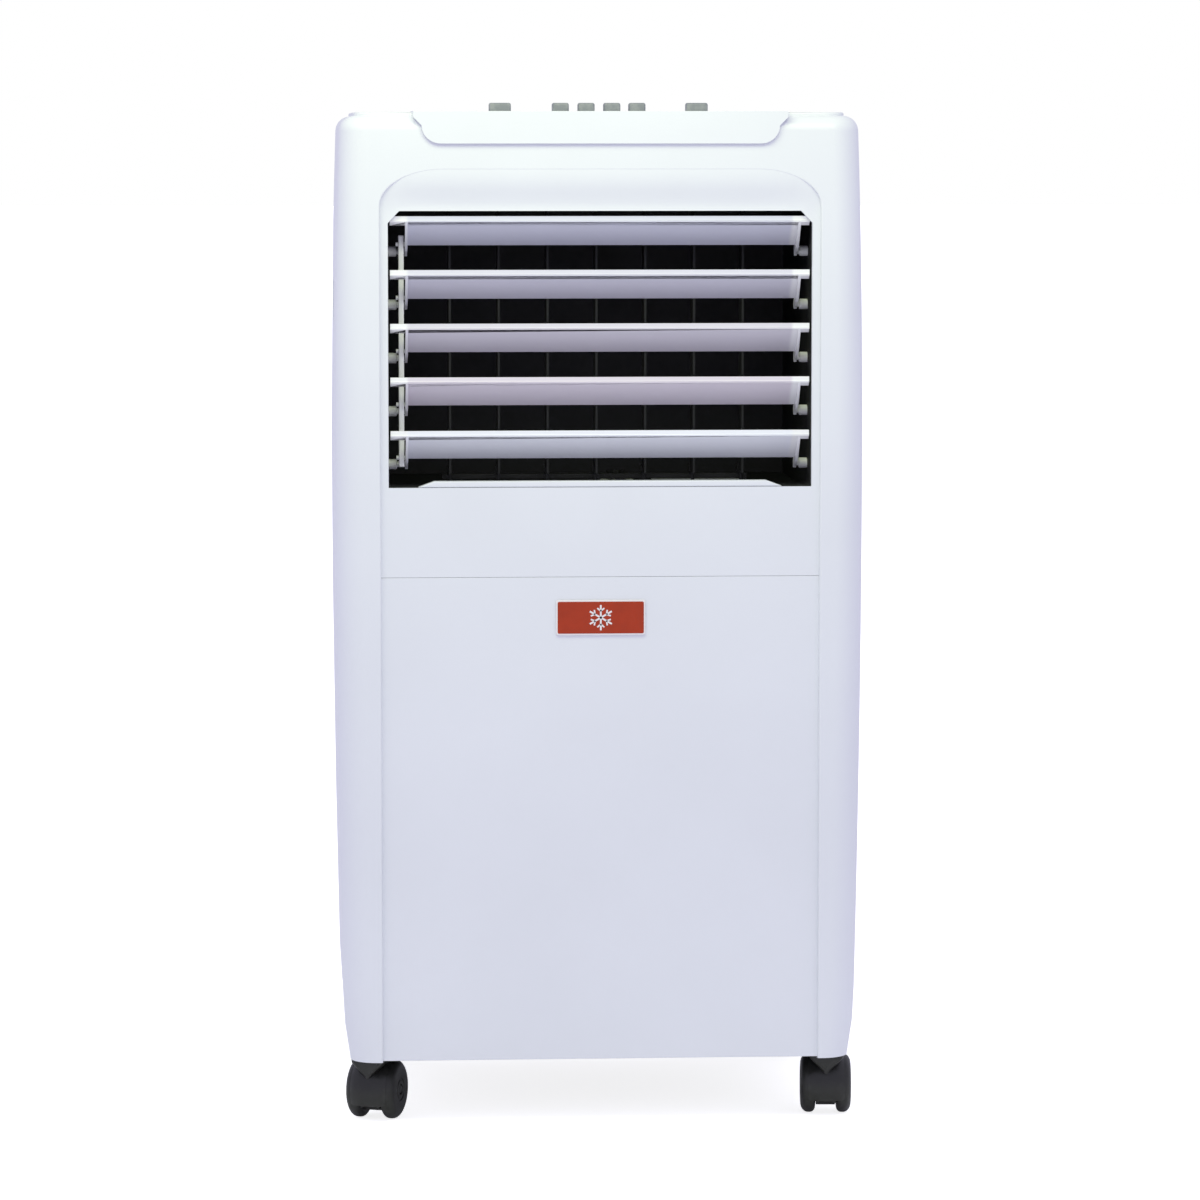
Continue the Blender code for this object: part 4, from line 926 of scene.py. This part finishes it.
def tyre_profile():
    """Half a twin wheel as (radius, along) pairs: bore, rounded inner edge, domed tread and hub ring."""
    near, far = WHEEL_X
    bend, dome, shoulder_x = 0.0042, 0.0062, near + 0.0050
    quarter = [math.radians(15 * k) for k in range(1, 7)]
    profile = [(0.0034, near), (WHEEL_R - bend, near)]
    profile += [(WHEEL_R - bend + bend * math.sin(t), near + 0.0034 - 0.0034 * math.cos(t)) for t in quarter]
    profile += [(WHEEL_R, shoulder_x)]
    quarter = [math.radians(90 * k / 7) for k in range(1, 8)]
    profile += [(WHEEL_R - dome + dome * math.cos(t), shoulder_x + (far - shoulder_x) * math.sin(t))
                for t in quarter]
    profile += [(0.0092, far), (0.0080, far - 0.0001), (0.0076, far - 0.0006), (0.0070, far - 0.0007)]
    profile += [(0.0064, far - 0.0005), (0.0060, far - 0.0001), (0.0036, far), (0.0034, far - 0.0006)]
    return profile + [(0.0034, near)]


def pin_profile():
    """The end of the axle, from the wheel's outer face inwards."""
    far = WHEEL_X[1]
    rounding = [(0, far), (0.0016, far), (0.0026, far - 0.0002), (0.0029, far - 0.0006)]
    return rounding + [(0.0029, 0.006), (0, 0.006)]


def castor(name):
    """A twin-wheel castor: a hooded fork and two domed wheels on one axle."""
    corners = [corner for side in "ab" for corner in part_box(f"castor_wheel_{name}_{side}")]
    middle = sum(corners, Vector()) / len(corners)
    axle = JOINTS[f"wheel_{name}_a_roll"]["axis"]
    yaw = math.atan2(axle[1], axle[0])
    place = Matrix.Translation((middle.x, middle.y, 0)) @ Matrix.Rotation(yaw, 4, "Z")

    rib_outline = arc((0.0, WHEEL_R), (HOOD_R - 0.001, HOOD_R - 0.001), *HOOD_TURN, 20)
    rib_outline += arc((0.0, WHEEL_R), (RIB_BORE, RIB_BORE), HOOD_TURN[1], HOOD_TURN[0] + 360, 20)
    rib = plate("rib", rib_outline, "X", -RIB_HALF, RIB_HALF)
    parts = [castor_hood(), rib, *fork_guards(), shoulder(), *castor_swivel(name)]
    fork = gather(f"castor_fork_body_{name}", parts)
    fork.data.transform(place)
    fit(fork, f"castor_{name}", "castor_black", f"castor_fork_{name}")

    def turned(piece, profile, sign, *settings):
        made = lathe(piece, [(r, sign * x) for r, x in profile], (0, 0, WHEEL_R), (1, 0, 0), *settings)
        made.data.transform(place)
        return made

    for side, sign in (("a", -1), ("b", 1)):
        wheel = turned(f"castor_tyre_{name}_{side}", tyre_profile(), sign, 56, 40)
        fit(wheel, f"wheel_{name}_{side}", "castor_wheel_black", f"castor_wheel_{name}_{side}")
        pin = turned(f"castor_axle_end_{name}_{side}", pin_profile(), sign, 24)
        fit(pin, f"castor_{name}", "castor_black")


# Rear

SCREW_R = 0.0034


def screw(name, centre, normal):
    """A pan-head screw with a cross recess."""
    head = lathe(name, [(0, 0.0012), (SCREW_R * 0.5, 0.00112), (SCREW_R * 0.86, 0.0008), (SCREW_R, 0.0002),
                        (SCREW_R, -0.0008), (0, -0.0008)], (0, 0, 0), (0, 0, 1), 28)
    reach, half, foot, above = SCREW_R * 0.62, 0.00035, 0.0004, 0.003
    for x, y in ((reach, half), (half, reach)):
        subtract(head, box_mesh("slot", (-x, -y, foot), (x, y, above)))
    head.data.transform(facing(centre, normal))
    fit(head, "housing", "shaft_steel", material=FIXING)


PAD_PITCH = 0.0074
PAD_ROWS = 88
PAD_SWING = 0.0026
PAD_INSET = 0.0008


def corrugated_pad():
    """The cooling pad: slanted corrugated sheets whose edges show as a honeycomb."""
    low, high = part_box("cooling_pad")
    sheets = []
    count = int((high.x - low.x) / PAD_PITCH)
    rise = high.z - low.z - 0.001
    for i in range(count + 1):
        centre = low.x + 0.003 + i * (high.x - low.x - 0.006) / count
        flip = 1 if i % 2 else -1
        front, back = [], []
        for k in range(PAD_ROWS + 1):
            z = low.z + 0.0005 + rise * k / PAD_ROWS
            swing = PAD_SWING * math.sin(2 * math.pi * k / 4)
            front.append((centre + flip * swing, low.y + PAD_INSET, z))
            back.append((centre - flip * swing, high.y - PAD_INSET, z))
        sheets.append(loft("sheet", (front, back), 0, closed=False))
    pad = gather("cooling_pad_sheets", sheets)
    modify(pad, "Paper", "SOLIDIFY", thickness=0.0005)
    return fit(pad, "housing", "pad_brown", "cooling_pad")


FILTER_RIB = 0.004
NET_PITCH = 0.0042
NET_MARGIN = 0.003
THREAD_HALF = 0.00022


def filter_bars(low, high, count):
    """Middles and half widths of a frame's bars along one side: two full ribs and thinner ones between."""
    span = high - low - 2 * FILTER_RIB
    bars = [(low + FILTER_RIB / 2, FILTER_RIB)]
    bars += [(low + FILTER_RIB + span * i / count, FILTER_RIB / 2) for i in range(1, count)]
    bars.append((high - FILTER_RIB / 2, FILTER_RIB))
    return [(max(low, middle - half), min(high, middle + half)) for middle, half in bars]


def net_places(low, high):
    """Where the net's threads lie along one side."""
    count = int((high - low - 2 * NET_MARGIN) / NET_PITCH)
    return [low + NET_MARGIN + i * (high - low - 2 * NET_MARGIN) / count for i in range(count + 1)]


def dust_filter():
    """The dust filter: a ribbed frame with fine mesh across its cells."""
    low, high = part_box("dust_filter")
    bars = []
    for left, right in filter_bars(low.x, high.x, 3):
        bars.append(plate("bar", rounded((left, low.y), (right, high.y), 0.0006, 3), "Z", low.z, high.z))
    for bottom, top_z in filter_bars(low.z, high.z, 5):
        bars.append(plate("bar", rounded((low.y, bottom), (high.y, top_z), 0.0006, 3), "X", low.x, high.x))
    dust_frame = gather("dust_filter_frame", bars)
    fit(dust_frame, "rear_grille", "filter_charcoal", "dust_filter")

    half = THREAD_HALF
    near, far = (low.y + high.y) / 2 - half, (low.y + high.y) / 2 + half
    left, right = low.x + NET_MARGIN, high.x - NET_MARGIN
    bottom, top_z = low.z + NET_MARGIN, high.z - NET_MARGIN
    threads = [box_mesh("thread", (x - half, near, bottom), (x + half, far, top_z))
               for x in net_places(low.x, high.x)]
    threads += [box_mesh("thread", (left, near, z - half), (right, far, z + half))
                for z in net_places(low.z, high.z)]
    net = gather("dust_filter_net", threads)
    return fit(net, "rear_grille", "filter_charcoal")


GRILLE_SLOTS = 17
GRILLE_BORDER = 0.020
GRILLE_HALF = 0.124         # half width of the hole in the border
SLOT_HALF = 0.006
BAR_LAP = 0.0008            # how far the bars and the rib run into the border
RIB_LAP = 0.001
SCREW_ROWS = (0.028, 0.190, 0.390, 0.600)
SCREW_X = 0.1475


def grille_frame():
    """The grille's border: a flat band with rounded edges round a square-cornered hole."""
    low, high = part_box("rear_grille")
    pitch = (high.z - low.z - 2 * GRILLE_BORDER) / GRILLE_SLOTS
    border = GRILLE_BORDER + pitch / 2 - SLOT_HALF
    steps = ((0.0, 0.0), (0.0, 0.0020), (0.0003, 0.0027), (0.0010, 0.0030))
    corners = (-GRILLE_HALF, low.z + border), (GRILLE_HALF, high.z - border)
    hole = [(rounded(*corners, 0.0012 + inset, inset=-inset), low.y + rise) for inset, rise in steps]
    outside = [(rounded(low.xz, high.xz, 0.0075 - inset, inset=inset), low.y + rise)
               for inset, rise in reversed(steps)]
    return stack("border", "Y", hole + outside, 50, (), True)


def rear_grille():
    """The rear grille: round-edged bars and a middle rib inside a flat border."""
    low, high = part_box("rear_grille")
    pitch = (high.z - low.z - 2 * GRILLE_BORDER) / GRILLE_SLOTS
    half = pitch / 2 - SLOT_HALF
    pieces = [grille_frame()]
    for i in range(1, GRILLE_SLOTS):
        z = low.z + GRILLE_BORDER + i * pitch
        profile = rounded((low.y + 0.0001, z - half), (high.y - 0.0001, z + half), 0.0013, 4)
        pieces.append(plate("bar", profile, "X", -GRILLE_HALF - BAR_LAP, GRILLE_HALF + BAR_LAP))
    rib = rounded((-0.002, low.y + 0.0002), (0.002, high.y - 0.0002), 0.0012, 4)
    pieces.append(plate("rib", rib, "Z", low.z + GRILLE_BORDER - RIB_LAP, high.z - GRILLE_BORDER + RIB_LAP))
    grille = gather("rear_grille_skin", pieces)
    return fit(grille, "rear_grille", "casing_white", "rear_grille")


def rear():
    """The rear shell, the grille with its filter, the pad, the tank and the screws."""
    nodes = frame["nodes"]
    widths = {"rear_casing": 0.0009, "tank_latch": 0.0006, "water_tank": 0.0008, "cable_gland": 0.0005}
    for name, width in widths.items():
        soften(nodes[name], width, 2, 40)
    rear_grille()
    dust_filter()
    corrugated_pad()
    back = REAR_HIGH.y
    for row, rise in enumerate(SCREW_ROWS, 1):
        for side, sign in (("left", -1), ("right", 1)):
            screw(f"rear_screw_{side}_{row}", (sign * SCREW_X, back - 0.0003, FOOT_Z + rise), (0, 1, 0))


# Inside

def inside():
    """Rounded edges for the pieces behind the skin."""
    nodes = frame["nodes"]
    for name in ("blower_scroll", "water_pump", "switch_bank", "fan_motor", "swing_motor", "swing_crank",
                 "pump_hose", "motor_shaft", "blower_wheel"):
        soften(nodes[name], 0.0004, 2, 40)
    for name in ("outlet_duct", "scroll_cover", "pad_frame", "water_distributor", "base_tray",
                 "motor_bracket", "vane_link"):
        soften(nodes[name], 0.0004, 2, 40, False)
    for i in range(1, 8):
        soften(nodes[f"vane_{i}"], 0.0003, 2, 40)


def dress_frame():
    """Every CAD node that still shows takes its own procedural material."""
    slots = {entry["node"]: entry["material_slot"] for entry in frame["record"]["subparts"]}
    for name, node in frame["nodes"].items():
        node.data.materials.clear()
        node.data.materials.append(MATERIALS["louvre_white" if name.startswith("louvre_") else slots[name]])


# Stage

def floor():
    """The pale floor, far larger than the view."""
    bm = bmesh.new()
    bmesh.ops.create_grid(bm, x_segments=24, y_segments=24, size=40.0)
    made = finish_mesh("studio_floor", bm)
    made.data.materials.append(floor_white("studio_floor_paint"))


AMBIENT = (0.827, 0.817, 1.0, 1.0)
AMBIENT_STRENGTH = 0.795
KEY_PLACE = (-0.1, -0.55, 1.05)
KEY_AIM = (0, -0.15, 0.62)
KEY_SIZE = (0.8, 0.3)
KEY_POWER = 3.2
KEY_COLOUR = (0.89, 1.0, 0.57)


def studio_light():
    """Even bluish light from all round and one warm light above the front; the background shows white."""
    world = bpy.data.worlds.new("studio")
    SCENE.world = world
    world.use_nodes = True
    nodes, links = world.node_tree.nodes, world.node_tree.links
    background = nodes["Background"]
    seen = nodes.new("ShaderNodeBackground")
    for node, colour, strength in ((background, AMBIENT, AMBIENT_STRENGTH), (seen, (1, 1, 1, 1), 1.0)):
        node.inputs["Color"].default_value = colour
        node.inputs["Strength"].default_value = strength
    rays = nodes.new("ShaderNodeLightPath")
    mix = nodes.new("ShaderNodeMixShader")
    links.new(rays.outputs["Is Camera Ray"], mix.inputs["Fac"])
    links.new(background.outputs["Background"], mix.inputs[1])
    links.new(seen.outputs["Background"], mix.inputs[2])
    links.new(mix.outputs["Shader"], nodes["World Output"].inputs["Surface"])
    light = bpy.data.lights.new("key", "AREA")
    light.shape = "RECTANGLE"
    light.size, light.size_y = KEY_SIZE
    light.energy = KEY_POWER
    light.color = KEY_COLOUR
    made = bpy.data.objects.new("key", light)
    made.location = KEY_PLACE
    made.rotation_euler = (Vector(KEY_AIM) - Vector(KEY_PLACE)).to_track_quat("-Z", "Y").to_euler()
    SCENE.collection.objects.link(made)
    SCENE.view_settings.view_transform = "Standard"


CAMERA_DISTANCE = 3.5
CAMERA_AZIMUTH = math.radians(-3.4)
CAMERA_TURN = math.radians(-0.135)      # further to the right than the middle of the floor
CAMERA_HEIGHT = 0.67
CAMERA_PITCH = math.radians(5.35)
CAMERA_LENS = 151.3


def camera():
    """A long lens a little to the left of the front, looking slightly down."""
    data = bpy.data.cameras.new("camera")
    data.lens = CAMERA_LENS
    data.sensor_width = 36.0
    data.clip_end = 200.0
    made = bpy.data.objects.new("camera", data)
    made.location = (CAMERA_DISTANCE * math.sin(CAMERA_AZIMUTH), -CAMERA_DISTANCE * math.cos(CAMERA_AZIMUTH),
                     CAMERA_HEIGHT)
    made.rotation_euler = (math.pi / 2 - CAMERA_PITCH, 0.0, CAMERA_AZIMUTH + CAMERA_TURN)
    SCENE.collection.objects.link(made)
    SCENE.camera = made


camera()
dress_frame()
front_casing()
louvre_frame()
outlet_throat()
outlet_sill()
lower_panel()
badge()
louvres()
top()
for castor_name in CASTOR_NAMES:
    castor(castor_name)
rear()
inside()
floor()
studio_light()
